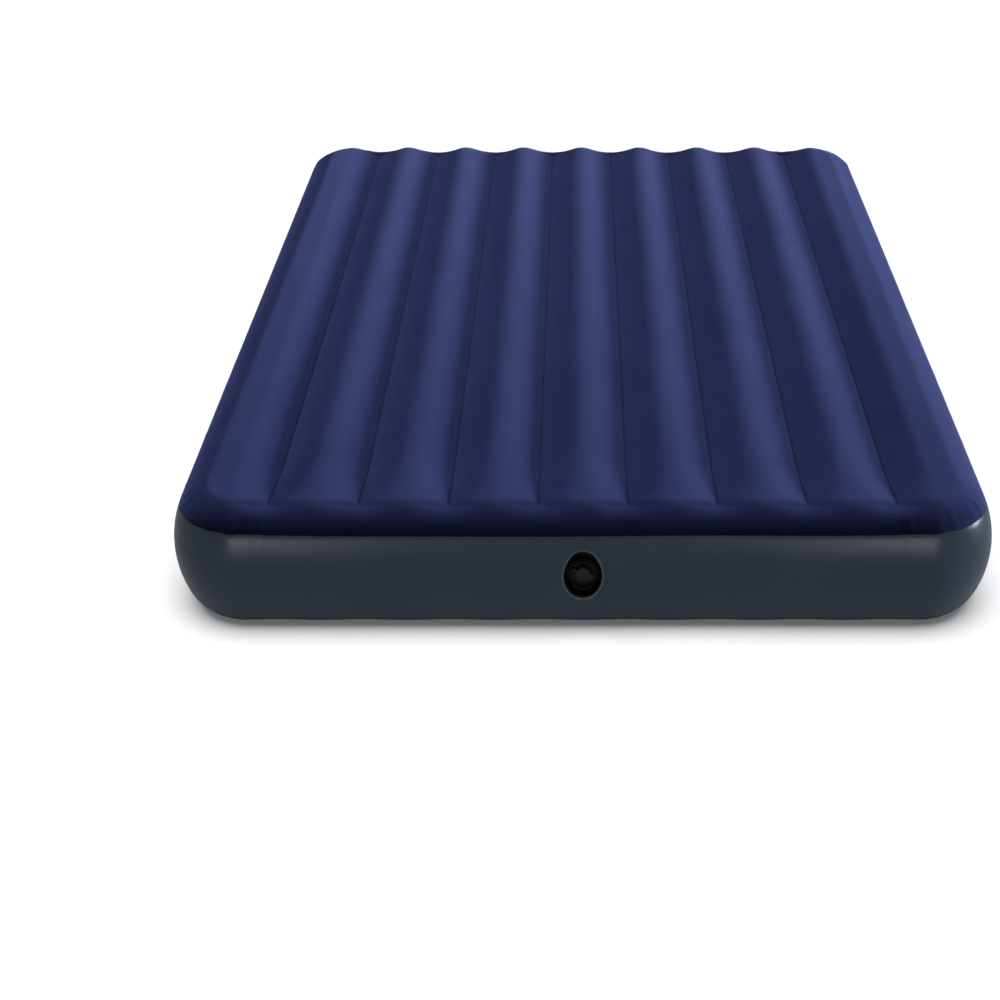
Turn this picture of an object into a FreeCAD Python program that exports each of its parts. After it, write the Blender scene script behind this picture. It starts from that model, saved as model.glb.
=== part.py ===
import FreeCAD, Part
import math
import os

import Sketcher

# A queen-size flocked air bed: nine lengthwise tubes shaped by eight inner beams, a bulging
# side wall, and a screw-in inflation valve in a soft oval pocket in the foot wall.
#
# Frame: millimetres, +Z up, origin on the floor under the middle of the bed. The head of the
# bed is at +Y and the foot, with the valve, at -Y. The valve's own pieces are drawn about the
# valve axis, with +Z out of the bed and +Y up, and then turned into place.

os.makedirs("parts", exist_ok=True)
doc = FreeCAD.newDocument("AirBed")

SIZES = [
    ("bed_width", 1520, "widest, across the bulge of the side walls"),
    ("bed_length", 2030, "longest, over the bulge of the end walls"),
    ("bed_height", 250, "floor to the crown of a tube"),
    ("corner_radius", 143, "plan radius of a corner, where it is widest"),
    ("seam_rise", 81, "middle of the wall to the seam above it"),
    ("under_seam", 20, "floor to the seam below the wall, out of sight under the bulge"),
    ("wall_bulge", 15, "how far the wall stands out past its seams"),
    ("crown_margin", 0.6, "how far the rounded form stands over the tubes' crowns"),
    ("core_overlap", 6, "how far the middle of the form reaches into its rim"),
    ("sheet", 0.8, "flocked and plain vinyl sheet"),
    ("tube_count", 9, "lengthwise tubes"),
    ("side_allowance", 33, "extra width of each outermost tube"),
    ("weld_width", 8, "weld strip between two tubes"),
    ("crown_strip", 4, "nearly flat middle of a tube's top"),
    ("top_valley", 28, "depth of a weld strip below the crowns"),
    ("under_valley", 18, "height of a weld strip over the floor"),
    ("ground_strip", 40, "width of a tube that lies flat on the floor"),
    ("beam_sheet", 0.5, "sheet of an inner beam"),
    ("beam_setback", 72, "end wall to the end of a beam"),
    ("valve_height", 132, "floor to the valve axis"),
    ("pocket_depth", 30, "end wall to the pocket's floor"),
    ("mouth_width", 72, "pocket mouth, across"),
    ("mouth_height", 98, "pocket mouth, up"),
    ("mouth_roundness", 0.78, "radius of the mouth's ends, as a share of half its width"),
    ("pocket_sheet", 1.2, "soft moulding of the pocket"),
    ("mouth_rim", 12, "vinyl rim round the mouth, let into the wall"),
    ("panel_width", 320, "wall panel that carries the valve, between the side wall's two ends"),
    ("pocket_flange", 20, "welded flange of the pocket, behind the rim and the wall"),
    ("weld_gap", 0.3, "between two soft sheets that are welded"),
    ("collar_bore", 40, "threaded bore of the valve base"),
    ("collar_wall", 2, "wall of the valve base's collar"),
    ("collar_front", 5, "collar, out of the pocket's floor"),
    ("collar_back", 14, "collar, behind the pocket's floor"),
    ("base_flange", 64, "diameter of the base's flange"),
    ("base_thickness", 2, "the base's flange"),
    ("thread_clearance", 0.3, "insert in the collar, on the radius"),
    ("seat_gap", 0.3, "between stacked pieces of the valve"),
    ("seal_thickness", 1.2, "gasket on the collar"),
    ("strap_thickness", 1, "insert strap"),
    ("strap_ring", 54, "outer diameter of the insert strap's ring"),
    ("strap_reach", 31, "valve axis to the fold of the insert strap"),
    ("strap_width", 11, "tongue of the insert strap"),
    ("insert_flange", 48, "diameter of the insert's face"),
    ("insert_thickness", 2.5, "the insert's face"),
    ("insert_wall", 2, "threaded skirt and nozzle tube of the insert"),
    ("insert_skirt", 9, "skirt, behind the pocket's floor"),
    ("bore", 19, "inflation bore"),
    ("bore_lip", 1.5, "raised mouth of the bore"),
    ("nozzle_back", 8, "nozzle tube, behind the pocket's floor"),
    ("grip_count", 12, "finger scallops round the insert's face"),
    ("grip_radius", 3, "a finger scallop"),
    ("grip_depth", 1.2, "a finger scallop"),
    ("plug_clearance", 0.2, "cap's plug in the bore, at its top, on the radius"),
    ("plug_length", 7, "cap's plug below the bore's mouth"),
    ("plug_taper", 1.3, "drop of the plug's radius over its length"),
    ("plug_wall", 1.6, "hollow plug"),
    ("knob", 27, "diameter of the cap's head"),
    ("knob_thickness", 4.5, "the cap's head"),
    ("knob_dish", 1.2, "dished middle of the cap's head"),
    ("knob_rim", 3, "rim round the dish"),
    ("knob_bevel", 1, "bevelled edge of the cap's head"),
    ("tab_reach", 21, "valve axis to the tip of the pull tab"),
    ("tab_width", 9, "pull tab"),
    ("tab_tip_radius", 5.5, "rounded tip of the pull tab"),
    ("tab_thickness", 1.8, "pull tab"),
    ("hinge_reach", 19, "valve axis to the fold of the cap strap"),
    ("hinge_direction", 160, "degrees from +X round the valve axis"),
    ("cap_ring", 25, "outer diameter of the cap strap's ring"),
    ("cap_strap_width", 8, "cap strap"),
    ("cap_strap_thickness", 1.4, "cap strap"),
    ("fold_radius", 1.3, "rounded root of a strap or flap"),
    ("fold_clearance", 0.3, "round that root"),
    ("cradle_wall", 1.2, "under the root of the cap strap"),
    ("flap_thickness", 1, "check flap"),
    ("flap_overlap", 0.7, "flap over the nozzle tube's rim"),
    ("flap_hinge", 13.6, "valve axis to the fold of the check flap"),
    ("flap_tongue", 7, "width of the check flap's tongue"),
    ("lug_height", 5, "tapered lug that holds the tongue's root"),
]

sheet = doc.addObject("Spreadsheet::Sheet", "Sizes")
for row, (alias, value, note) in enumerate(SIZES, start=1):
    sheet.set(f"A{row}", alias)
    sheet.set(f"B{row}", str(value))
    sheet.set(f"C{row}", note)
    sheet.setAlias(f"B{row}", alias)
doc.recompute()

# Sizes that follow from the ones above. The walls and the shoulders over and under them are
# arcs that meet in a common tangent at each seam, whose lean has the seam's sine and cosine.
WORKED = [
    ("half_width", "Sizes.bed_width / 2"),
    ("half_length", "Sizes.bed_length / 2"),
    ("mid_height", "Sizes.bed_height / 2"),
    ("wall_radius", "(Sizes.seam_rise ^ 2 + Sizes.wall_bulge ^ 2) / (2 * Sizes.wall_bulge)"),
    ("seam_sine", "Sizes.seam_rise / Worked.wall_radius"),
    ("seam_cosine", "(Worked.wall_radius - Sizes.wall_bulge) / Worked.wall_radius"),
    ("form_rise", "Worked.mid_height + Sizes.crown_margin"),
    ("shoulder_radius", "(Worked.form_rise - Sizes.seam_rise) / (1 - Worked.seam_sine)"),
    ("shoulder_inset", "Sizes.wall_bulge + Worked.shoulder_radius * Worked.seam_cosine"),
    ("core_inset", "Worked.shoulder_inset + Sizes.core_overlap"),
    ("seam_top", "Worked.mid_height + Sizes.seam_rise"),
    ("tube_pitch", "(Sizes.bed_width - 2 * Sizes.side_allowance) / Sizes.tube_count"),
    ("tube_run", "(Worked.tube_pitch - Sizes.weld_width) / 2"),
    ("top_run", "Worked.tube_run - Sizes.crown_strip / 2"),
    ("under_run", "Worked.tube_run - Sizes.ground_strip / 2"),
    ("top_radius", "(Worked.top_run ^ 2 + Sizes.top_valley ^ 2) / (2 * Sizes.top_valley)"),
    ("under_radius", "(Worked.under_run ^ 2 + Sizes.under_valley ^ 2) / (2 * Sizes.under_valley)"),
    ("cutter_edge", "Worked.half_width + Sizes.bed_height"),
    ("cutter_top", "Sizes.bed_height + Worked.mid_height"),
    ("mouth_across", "Sizes.mouth_width / 2"),
    ("mouth_end", "Worked.mouth_across * Sizes.mouth_roundness"),
    ("mouth_end_centre", "Sizes.mouth_height / 2 - Worked.mouth_end"),
    ("mouth_side", "(Worked.mouth_across ^ 2 + Worked.mouth_end_centre ^ 2 - Worked.mouth_end ^ 2)"
        " / (2 * (Worked.mouth_across - Worked.mouth_end))"),
    ("mouth_side_centre", "Worked.mouth_side - Worked.mouth_across"),
    ("collar_inner", "Sizes.collar_bore / 2"),
    ("collar_outer", "Worked.collar_inner + Sizes.collar_wall"),
    ("skirt_outer", "Worked.collar_inner - Sizes.thread_clearance"),
    ("skirt_inner", "Worked.skirt_outer - Sizes.insert_wall"),
    ("neck_inner", "Worked.collar_inner + Sizes.seat_gap"),
    ("seal_base", "Sizes.collar_front + Sizes.seat_gap"),
    ("seal_top", "Worked.seal_base + Sizes.seal_thickness"),
    ("strap_base", "Worked.seal_top + Sizes.seat_gap"),
    ("strap_top", "Worked.strap_base + Sizes.strap_thickness"),
    ("strap_foot", "Sizes.base_thickness + Sizes.seat_gap"),
    ("insert_base", "Worked.strap_top + Sizes.seat_gap"),
    ("insert_face", "Worked.insert_base + Sizes.insert_thickness"),
    ("bore_mouth", "Worked.insert_face + Sizes.bore_lip"),
    ("bore_radius", "Sizes.bore / 2"),
    ("nozzle_outer", "Worked.bore_radius + Sizes.insert_wall"),
    ("plug_top", "Worked.bore_radius - Sizes.plug_clearance"),
    ("plug_tip", "Worked.plug_top - Sizes.plug_taper"),
    ("plug_end", "Worked.bore_mouth - Sizes.plug_length"),
    ("cap_ring_base", "Worked.bore_mouth + Sizes.seat_gap"),
    ("cap_ring_top", "Worked.cap_ring_base + Sizes.cap_strap_thickness"),
    ("knob_base", "Worked.cap_ring_top + Sizes.seat_gap"),
    ("knob_top", "Worked.knob_base + Sizes.knob_thickness"),
    ("knob_radius", "Sizes.knob / 2"),
    ("fold_height", "(Worked.cap_ring_base + Worked.cap_ring_top) / 2"),
    ("cradle_radius", "Sizes.fold_radius + Sizes.fold_clearance"),
    ("flap_face", "0 - Sizes.nozzle_back - Sizes.seat_gap"),
    ("flap_radius", "Worked.bore_radius + Sizes.flap_overlap"),
]

worked = doc.addObject("App::VarSet", "Worked")
for name, formula in WORKED:
    worked.addProperty("App::PropertyFloat", name)
    worked.setExpression(name, formula)
doc.recompute()


def number(formula):
    """The present value of a formula, in millimetres."""
    return float(worked.evalExpression(formula))


def own_plane(body, role):
    """One of a body's own origin planes or axes."""
    return next(item for item in body.Origin.OriginFeatures if item.Role == role)


def arc_between(start, end, radius, turn):
    """The short arc from start to end: turn 1 is counter-clockwise and -1 clockwise."""
    chord = end - start
    half = chord.Length / 2
    side = FreeCAD.Vector(-chord.y, chord.x, 0).normalize()
    centre = (start + end) / 2 + side * turn * math.sqrt(radius**2 - half**2)
    first, last = (start, end) if turn > 0 else (end, start)
    circle = Part.Circle(centre, FreeCAD.Vector(0, 0, 1), radius)
    angles = [math.atan2(point.y - centre.y, point.x - centre.x) for point in (first, last)]
    return Part.ArcOfCircle(circle, *angles)


def outline(body, name, role, corners):
    """A closed, fully constrained sketch on one of the body's own planes.

    A corner is a pair of formulas, or (across, up, radius, turn) when the edge that leaves it
    is an arc. Each coordinate and radius becomes a constraint that keeps its formula.
    """
    sketch = body.newObject("Sketcher::SketchObject", name)
    sketch.AttachmentSupport = [(own_plane(body, role), "")]
    sketch.MapMode = "FlatFace"
    points = [FreeCAD.Vector(number(corner[0]), number(corner[1]), 0) for corner in corners]
    heads = []
    tails = []
    for edge, corner in enumerate(corners):
        start = points[edge]
        end = points[(edge + 1) % len(points)]
        turn = corner[3] if len(corner) > 2 else 1
        if len(corner) > 2:
            sketch.addGeometry(arc_between(start, end, number(corner[2]), turn))
        else:
            sketch.addGeometry(Part.LineSegment(start, end))
        heads.append((edge, 1 if turn > 0 else 2))
        tails.append((edge, 2 if turn > 0 else 1))
    for edge, corner in enumerate(corners):
        join = Sketcher.Constraint("Coincident", *tails[edge - 1], *heads[edge])
        sketch.addConstraint(join)
        for kind, formula in zip(("DistanceX", "DistanceY"), corner[:2]):
            place = Sketcher.Constraint(kind, -1, 1, *heads[edge], number(formula))
            row = sketch.addConstraint(place)
            sketch.setExpression(f"Constraints[{row}]", formula)
        if len(corner) > 2:
            row = sketch.addConstraint(Sketcher.Constraint("Radius", edge, number(corner[2])))
            sketch.setExpression(f"Constraints[{row}]", corner[2])
    return sketch


def new_body(name):
    return doc.addObject("PartDesign::Body", name)


def pad(body, name, sketch, length, symmetric=False):
    feature = body.newObject("PartDesign::Pad", name)
    feature.Profile = sketch
    feature.SideType = "Symmetric" if symmetric else "One side"
    feature.setExpression("Length", length)
    return feature


def pocket_through(body, name, sketch, length):
    """Cut a sketch's outline out of the body, half the length to each side of its plane."""
    feature = body.newObject("PartDesign::Pocket", name)
    feature.Profile = sketch
    feature.SideType = "Symmetric"
    feature.setExpression("Length", length)
    return feature


def revolve(body, name, sketch):
    """Turn a sketch on the XZ plane once round the body's Z axis."""
    feature = body.newObject("PartDesign::Revolution", name)
    feature.Profile = sketch
    feature.ReferenceAxis = (sketch, ["V_Axis"])
    feature.Angle = 360
    return feature


def polar(body, name, original, count):
    feature = body.newObject("PartDesign::PolarPattern", name)
    feature.Originals = [original]
    feature.Axis = (own_plane(body, "Z_Axis"), [""])
    feature.Angle = 360
    feature.setExpression("Occurrences", count)
    body.Tip = feature
    return feature


def rounded_rectangle(body, name, inset):
    """The bed's plan outline, smaller by the inset all round, starting in the middle of +X."""
    across = f"(Worked.half_width - ({inset}))"
    along = f"(Worked.half_length - ({inset}))"
    radius = f"(Sizes.corner_radius - ({inset}))"
    corners = [(across, "0")]
    for side_x, side_y in ((1, 1), (-1, 1), (-1, -1), (1, -1)):
        on_side = (f"{side_x} * {across}", f"{side_y} * ({along} - {radius})")
        on_end = (f"{side_x} * ({across} - {radius})", f"{side_y} * {along}")
        first, last = (on_side, on_end) if side_x * side_y > 0 else (on_end, on_side)
        corners += [(*first, radius, 1), last]
    return outline(body, name, "XY_Plane", corners)


def rounded_form(body, inset):
    """The bed's rounded form, smaller by the inset all round: a rim swept round the plan
    outline, with the bulging wall and its two shoulders as its outside, and a flat core."""
    across = "Worked.half_width"
    seam_x = f"{across} - Sizes.wall_bulge - ({inset}) * Worked.seam_cosine"
    core_x = f"{across} - Worked.core_inset - ({inset})"
    bend_x = f"{across} - Worked.shoulder_inset"
    rise = f"(Worked.form_rise - ({inset}))"
    seam = f"(Sizes.seam_rise - ({inset}) * Worked.seam_sine)"
    wall = f"Worked.wall_radius - ({inset})"
    shoulder = f"Worked.shoulder_radius - ({inset})"
    path = rounded_rectangle(body, "Plan", inset)
    profile = outline(
        body,
        "Rim",
        "XZ_Plane",
        [
            (core_x, f"Worked.mid_height - {rise}"),
            (bend_x, f"Worked.mid_height - {rise}", shoulder, 1),
            (seam_x, f"Worked.mid_height - {seam}", wall, 1),
            (seam_x, f"Worked.mid_height + {seam}", shoulder, 1),
            (bend_x, f"Worked.mid_height + {rise}"),
            (core_x, f"Worked.mid_height + {rise}"),
        ],
    )
    rim = body.newObject("PartDesign::AdditivePipe", "RimSweep")
    rim.Profile = profile
    rim.Spine = (path, [f"Edge{edge + 1}" for edge in range(path.GeometryCount)])
    core = rounded_rectangle(body, "Core", f"Worked.core_inset - Sizes.core_overlap / 2 + ({inset})")
    core.setExpression("AttachmentOffset.Base.z", f"Worked.mid_height - {rise}")
    pad(body, "CorePad", core, f"2 * {rise}")


def tube_row(level, valley, radius, flat, turn):
    """A row of tubes from -X to +X, as corners: flat at the level over each tube's middle,
    and an arc from there to the weld strip on each side, at the valley."""
    drop = f"({radius} - abs(({level}) - ({valley})))"
    reach = f"sqrt(({radius}) ^ 2 - {drop} ^ 2)"
    count = int(number("Sizes.tube_count"))
    corners = []
    for tube in range(count):
        middle = f"Worked.tube_pitch * ({tube} - (Sizes.tube_count - 1) / 2)"
        if tube > 0:
            corners.append((f"{middle} - {flat} - {reach}", valley, radius, turn))
            corners.append((f"{middle} - {flat}", level))
        if tube < count - 1:
            corners.append((f"{middle} + {flat}", level, radius, turn))
            corners.append((f"{middle} + {flat} + {reach}", valley))
    return corners


def tube_cut(body, name, inset, level, valley, radius, flat, turn, far):
    """Cut away all that lies past a row of tubes, out to the far height."""
    row = tube_row(level, valley, f"({radius} - ({inset}))", flat, turn)
    corners = [("0 - Worked.cutter_edge", level), *row, ("Worked.cutter_edge", level)]
    corners += [("Worked.cutter_edge", far), ("0 - Worked.cutter_edge", far)]
    sketch = outline(body, name, "XZ_Plane", corners)
    pocket_through(body, f"{name}Cut", sketch, "2 * Sizes.bed_length")


def chamber_form(name, inset):
    """The whole air chamber as one solid, with its surface the inset inside the real one."""
    body = new_body(name)
    rounded_form(body, inset)
    top_level = f"Sizes.bed_height - ({inset})"
    top_valley = f"Sizes.bed_height - Sizes.top_valley - ({inset})"
    top_flat = "Sizes.crown_strip / 2"
    under_valley = f"Sizes.under_valley + ({inset})"
    under_flat = "Sizes.ground_strip / 2"
    tube_cut(
        body, "TopTubes", inset, top_level, top_valley,
        "Worked.top_radius", top_flat, -1, "Worked.cutter_top",
    )
    tube_cut(
        body, "UnderTubes", inset, inset, under_valley,
        "Worked.under_radius", under_flat, 1, "0 - Worked.mid_height",
    )
    return body


def combine(kind, name, base, tool):
    """A Part boolean of two objects of the document."""
    feature = doc.addObject(f"Part::{kind}", name)
    feature.Base = base
    feature.Tool = tool
    return feature


def slab(name, low, high):
    """A level slab that is wider than the bed."""
    box = doc.addObject("Part::Box", name)
    box.setExpression("Length", "2 * Worked.cutter_edge")
    box.setExpression("Width", "2 * Sizes.bed_length")
    box.setExpression("Height", f"({high}) - ({low})")
    box.setExpression("Placement.Base.x", "0 - Worked.cutter_edge")
    box.setExpression("Placement.Base.y", "0 - Sizes.bed_length")
    box.setExpression("Placement.Base.z", low)
    return box


def on_valve_axis(piece, outward="0", turned="0"):
    """Put a piece drawn about the valve axis into its place in the foot wall."""
    upright = FreeCAD.Rotation(FreeCAD.Vector(1, 0, 0), 90)
    about_axis = FreeCAD.Rotation(FreeCAD.Vector(0, 0, 1), number(turned))
    piece.Placement.Rotation = upright * about_axis
    piece.setExpression(
        "Placement.Base.y", f"Sizes.pocket_depth - Worked.half_length - ({outward})"
    )
    piece.setExpression("Placement.Base.z", "Sizes.valve_height")
    return piece


def oval_block(name, growth, outward, length):
    """An upright oval block on the valve axis: the pocket's mouth, larger by the growth. The
    oval is four arcs that meet in common tangents, so growth adds to both of its radii."""
    body = new_body(name)
    end = f"(Worked.mouth_end + ({growth}))"
    side = f"(Worked.mouth_side + ({growth}))"
    share = f"{end} / (Worked.mouth_side - Worked.mouth_end)"
    across = f"Worked.mouth_side_centre * {share}"
    up = f"Worked.mouth_end_centre * (1 + {share})"
    corners = [
        (across, f"0 - {up}", side, 1),
        (across, up, end, 1),
        (f"0 - {across}", up, side, 1),
        (f"0 - {across}", f"0 - {up}", end, 1),
    ]
    pad(body, "Block", outline(body, "Oval", "XY_Plane", corners), length)
    return on_valve_axis(body, outward)


def behind_wall(name, depth):
    """A lying cylinder, across the bed, that is parallel to the foot wall and inside it."""
    drum = doc.addObject("Part::Cylinder", name)
    drum.setExpression("Radius", f"Worked.wall_radius - ({depth})")
    drum.setExpression("Height", "2 * Sizes.mouth_height")
    drum.Placement.Rotation = FreeCAD.Rotation(FreeCAD.Vector(0, 1, 0), 90)
    drum.setExpression("Placement.Base.x", "0 - Sizes.mouth_height")
    drum.setExpression("Placement.Base.y", "Worked.wall_radius - Worked.half_length")
    drum.setExpression("Placement.Base.z", "Worked.mid_height")
    return drum


# The air chamber's sheets: the flocked top cover, the side wall band and the bottom sheet.
# They are one hollow form, parted at the two seams that run round the bed. The band is a long
# strip, closed in the middle of the foot side by a short panel that carries the valve.

outer_form = chamber_form("OuterForm", "0")
inner_form = chamber_form("InnerForm", "Sizes.sheet")
skin = combine("Cut", "Skin", outer_form, inner_form)
mouth = oval_block("Mouth", "0", "0", "2 * Sizes.pocket_depth")
rim_room = oval_block("RimRoom", "Sizes.mouth_rim + Sizes.weld_gap", "0", "2 * Sizes.pocket_depth")

over = slab("Over", "Worked.seam_top", "Worked.cutter_top")
between = slab("Between", "Sizes.under_seam", "Worked.seam_top")
under = slab("Under", "0 - Worked.mid_height", "Sizes.under_seam")
top_cover = combine("Common", "top_cover", skin, over)
band = combine("Common", "WallBand", skin, between)
panel_zone = doc.addObject("Part::Box", "PanelZone")
panel_zone.setExpression("Length", "Sizes.panel_width")
panel_zone.setExpression("Width", "Sizes.corner_radius")
panel_zone.setExpression("Height", "Sizes.bed_height")
panel_zone.setExpression("Placement.Base.x", "0 - Sizes.panel_width / 2")
panel_zone.setExpression("Placement.Base.y", "0 - Worked.half_length - Sizes.corner_radius / 2")
side_wall = combine("Cut", "side_wall", band, panel_zone)
whole_panel = combine("Common", "WholePanel", band, panel_zone)
valve_panel = combine("Cut", "valve_panel", whole_panel, rim_room)
bottom_sheet = combine("Common", "bottom_sheet", skin, under)


# Inner beams: one web under each weld strip of the top cover, with a flange at the top and
# the bottom that is as wide as the strip it is welded to. They stop short of the end walls,
# so that air passes round them.


def air_beam(index):
    body = new_body(f"air_beam_{index + 1}")
    flange = "Sizes.weld_width / 2"
    web = "Sizes.beam_sheet / 2"
    low = "Sizes.under_valley + Sizes.sheet"
    high = "Sizes.bed_height - Sizes.top_valley - Sizes.sheet"
    right_side = [
        (flange, low),
        (flange, f"{low} + Sizes.beam_sheet"),
        (web, f"{low} + Sizes.beam_sheet"),
        (web, f"{high} - Sizes.beam_sheet"),
        (flange, f"{high} - Sizes.beam_sheet"),
        (flange, high),
    ]
    left_side = [(f"0 - {across}", up) for across, up in reversed(right_side)]
    section = outline(body, "Section", "XZ_Plane", right_side + left_side)
    pad(body, "Strip", section, "Sizes.bed_length - 2 * Sizes.beam_setback", symmetric=True)
    middle = f"Worked.tube_pitch * ({index + 1} - Sizes.tube_count / 2)"
    body.setExpression("Placement.Base.x", middle)
    return body


air_beams = [air_beam(index) for index in range(int(number("Sizes.tube_count")) - 1)]


# Valve pocket: a soft oval cup in the foot wall, with a flange that follows the wall's inner
# face and a round hole in its floor for the valve base. A vinyl rim of the wall's thickness
# lies on the flange between the mouth and the wall's cut edge.


def make_mouth_rim():
    rim_block = oval_block("RimBlock", "Sizes.mouth_rim", "0", "2 * Sizes.pocket_depth")
    drums = behind_wall("RimFace", "0"), behind_wall("RimBack", "Sizes.sheet")
    band = combine("Common", "RimBand", combine("Cut", "RimSheet", *drums), rim_block)
    return combine("Cut", "mouth_rim", band, mouth)


mouth_rim = make_mouth_rim()


def make_valve_pocket():
    face_depth = "Sizes.sheet + Sizes.weld_gap"
    face = behind_wall("PocketFace", face_depth)
    back = behind_wall("PocketBack", f"{face_depth} + Sizes.pocket_sheet")
    floor = "0 - Sizes.pocket_sheet"
    length = "2 * Sizes.pocket_depth"
    flange_block = oval_block("FlangeBlock", "Sizes.pocket_flange", floor, length)
    tube_block = oval_block("TubeBlock", "Sizes.pocket_sheet", floor, length)
    flange_sheet = combine("Cut", "FlangeSheet", face, back)
    flange = combine("Common", "PocketFlange", flange_sheet, flange_block)
    tube = combine("Common", "PocketTube", tube_block, face)
    cup = combine("Cut", "PocketCup", combine("Fuse", "PocketBlank", flange, tube), mouth)
    hole = doc.addObject("Part::Cylinder", "PocketHole")
    hole.setExpression("Radius", "Worked.collar_outer + Sizes.weld_gap")
    hole.setExpression("Height", "2 * Sizes.pocket_depth")
    on_valve_axis(hole, "0 - Sizes.pocket_depth")
    return combine("Cut", "valve_pocket", cup, hole)


valve_pocket = make_valve_pocket()


# Valve base: a threaded collar through the pocket's floor, with a flange welded to it.


def make_valve_base():
    body = new_body("valve_base")
    corners = [
        ("Worked.collar_inner", "0 - Sizes.collar_back"),
        ("Worked.collar_outer", "0 - Sizes.collar_back"),
        ("Worked.collar_outer", "0"),
        ("Sizes.base_flange / 2", "0"),
        ("Sizes.base_flange / 2", "Sizes.base_thickness"),
        ("Worked.collar_outer", "Sizes.base_thickness"),
        ("Worked.collar_outer", "Sizes.collar_front"),
        ("Worked.collar_inner", "Sizes.collar_front"),
    ]
    revolve(body, "Collar", outline(body, "Profile", "XZ_Plane", corners))
    return on_valve_axis(body)


valve_base = make_valve_base()


# Insert: it screws into the collar and carries the inflation bore. Its face has finger
# scallops, a cradle for the root of the cap's strap, and a lug behind it for the check flap.


def make_valve_insert():
    body = new_body("valve_insert")
    corners = [
        ("Worked.bore_radius", "0 - Sizes.nozzle_back"),
        ("Worked.nozzle_outer", "0 - Sizes.nozzle_back"),
        ("Worked.nozzle_outer", "Worked.insert_base"),
        ("Worked.skirt_inner", "Worked.insert_base"),
        ("Worked.skirt_inner", "0 - Sizes.insert_skirt"),
        ("Worked.skirt_outer", "0 - Sizes.insert_skirt"),
        ("Worked.skirt_outer", "Worked.insert_base"),
        ("Sizes.insert_flange / 2", "Worked.insert_base"),
        ("Sizes.insert_flange / 2", "Worked.insert_face"),
        ("Worked.nozzle_outer + Sizes.bore_lip", "Worked.insert_face"),
        ("Worked.nozzle_outer", "Worked.bore_mouth"),
        ("Worked.bore_radius", "Worked.bore_mouth"),
    ]
    revolve(body, "Screw", outline(body, "Profile", "XZ_Plane", corners))

    trough = "Worked.cradle_radius"
    drop = "(Sizes.cap_strap_thickness / 2 + Sizes.fold_clearance)"
    near = f"Sizes.hinge_reach - {trough} - Sizes.cradle_wall"
    far = f"Sizes.hinge_reach + {trough} + Sizes.cradle_wall"
    root = "Worked.insert_face - Sizes.insert_thickness / 2"
    cradle = [
        (near, root),
        (far, root),
        (far, "Worked.fold_height"),
        (f"Sizes.hinge_reach + {trough}", "Worked.fold_height", trough, -1),
        (f"Sizes.hinge_reach - sqrt({trough} ^ 2 - {drop} ^ 2)", f"Worked.fold_height - {drop}"),
        (near, f"Worked.fold_height - {drop}"),
    ]
    sketch = outline(body, "Cradle", "XZ_Plane", cradle)
    pad(body, "CradleBlock", sketch, "Sizes.cap_strap_width", symmetric=True)

    lug = [
        ("Worked.nozzle_outer - Sizes.insert_wall / 2", "0 - Sizes.nozzle_back"),
        ("Sizes.flap_hinge + Sizes.flap_thickness", "0 - Sizes.nozzle_back"),
        ("Worked.nozzle_outer - Sizes.insert_wall / 2", "0 - Sizes.nozzle_back + Sizes.lug_height"),
    ]
    sketch = outline(body, "Lug", "XZ_Plane", lug)
    pad(body, "FlapLug", sketch, "Sizes.flap_tongue", symmetric=True)

    centre = "Sizes.insert_flange / 2 - Sizes.grip_depth + Sizes.grip_radius"
    sketch = body.newObject("Sketcher::SketchObject", "Scallop")
    sketch.AttachmentSupport = [(own_plane(body, "XY_Plane"), "")]
    sketch.MapMode = "FlatFace"
    spot = FreeCAD.Vector(number(centre), 0, 0)
    upward = FreeCAD.Vector(0, 0, 1)
    sketch.addGeometry(Part.Circle(spot, upward, number("Sizes.grip_radius")))
    sketch.addConstraint(Sketcher.Constraint("PointOnObject", 0, 3, -1))
    row = sketch.addConstraint(Sketcher.Constraint("DistanceX", -1, 1, 0, 3, spot.x))
    sketch.setExpression(f"Constraints[{row}]", centre)
    row = sketch.addConstraint(Sketcher.Constraint("Radius", 0, number("Sizes.grip_radius")))
    sketch.setExpression(f"Constraints[{row}]", "Sizes.grip_radius")
    scallop = pocket_through(body, "ScallopCut", sketch, "4 * Worked.insert_face")
    polar(body, "Grip", scallop, "Sizes.grip_count")
    return on_valve_axis(body, turned="Sizes.hinge_direction")


valve_insert = make_valve_insert()


def ring(name, inner, outer, low, high):
    """A plain ring about the valve axis."""
    body = new_body(name)
    corners = [(inner, low), (outer, low), (outer, high), (inner, high)]
    revolve(body, "Ring", outline(body, "Profile", "XZ_Plane", corners))
    return body


# Gasket between the collar and the insert, and the strap that keeps the insert on the bed:
# its ring lies round the insert's neck and its tongue folds down to the base's flange.

insert_seal = ring(
    "insert_seal", "Worked.neck_inner", "Worked.collar_outer", "Worked.seal_base", "Worked.seal_top"
)
on_valve_axis(insert_seal)


def make_insert_strap():
    ring_edge = "Sizes.strap_ring / 2"
    body = ring(
        "insert_strap", "Worked.neck_inner", ring_edge, "Worked.strap_base", "Worked.strap_top"
    )
    inside = "0 - (Sizes.strap_reach - Sizes.strap_thickness)"
    outside = "0 - Sizes.strap_reach"
    on_ring = f"0 - ({ring_edge} - Sizes.strap_thickness)"
    tongue = [
        (on_ring, "Worked.strap_top"),
        (outside, "Worked.strap_top"),
        (outside, "Worked.strap_foot"),
        (inside, "Worked.strap_foot"),
        (inside, "Worked.strap_base"),
        (on_ring, "Worked.strap_base"),
    ]
    sketch = outline(body, "Tongue", "YZ_Plane", tongue)
    pad(body, "TonguePad", sketch, "Sizes.strap_width", symmetric=True)
    return on_valve_axis(body)


insert_strap = make_insert_strap()


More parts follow.
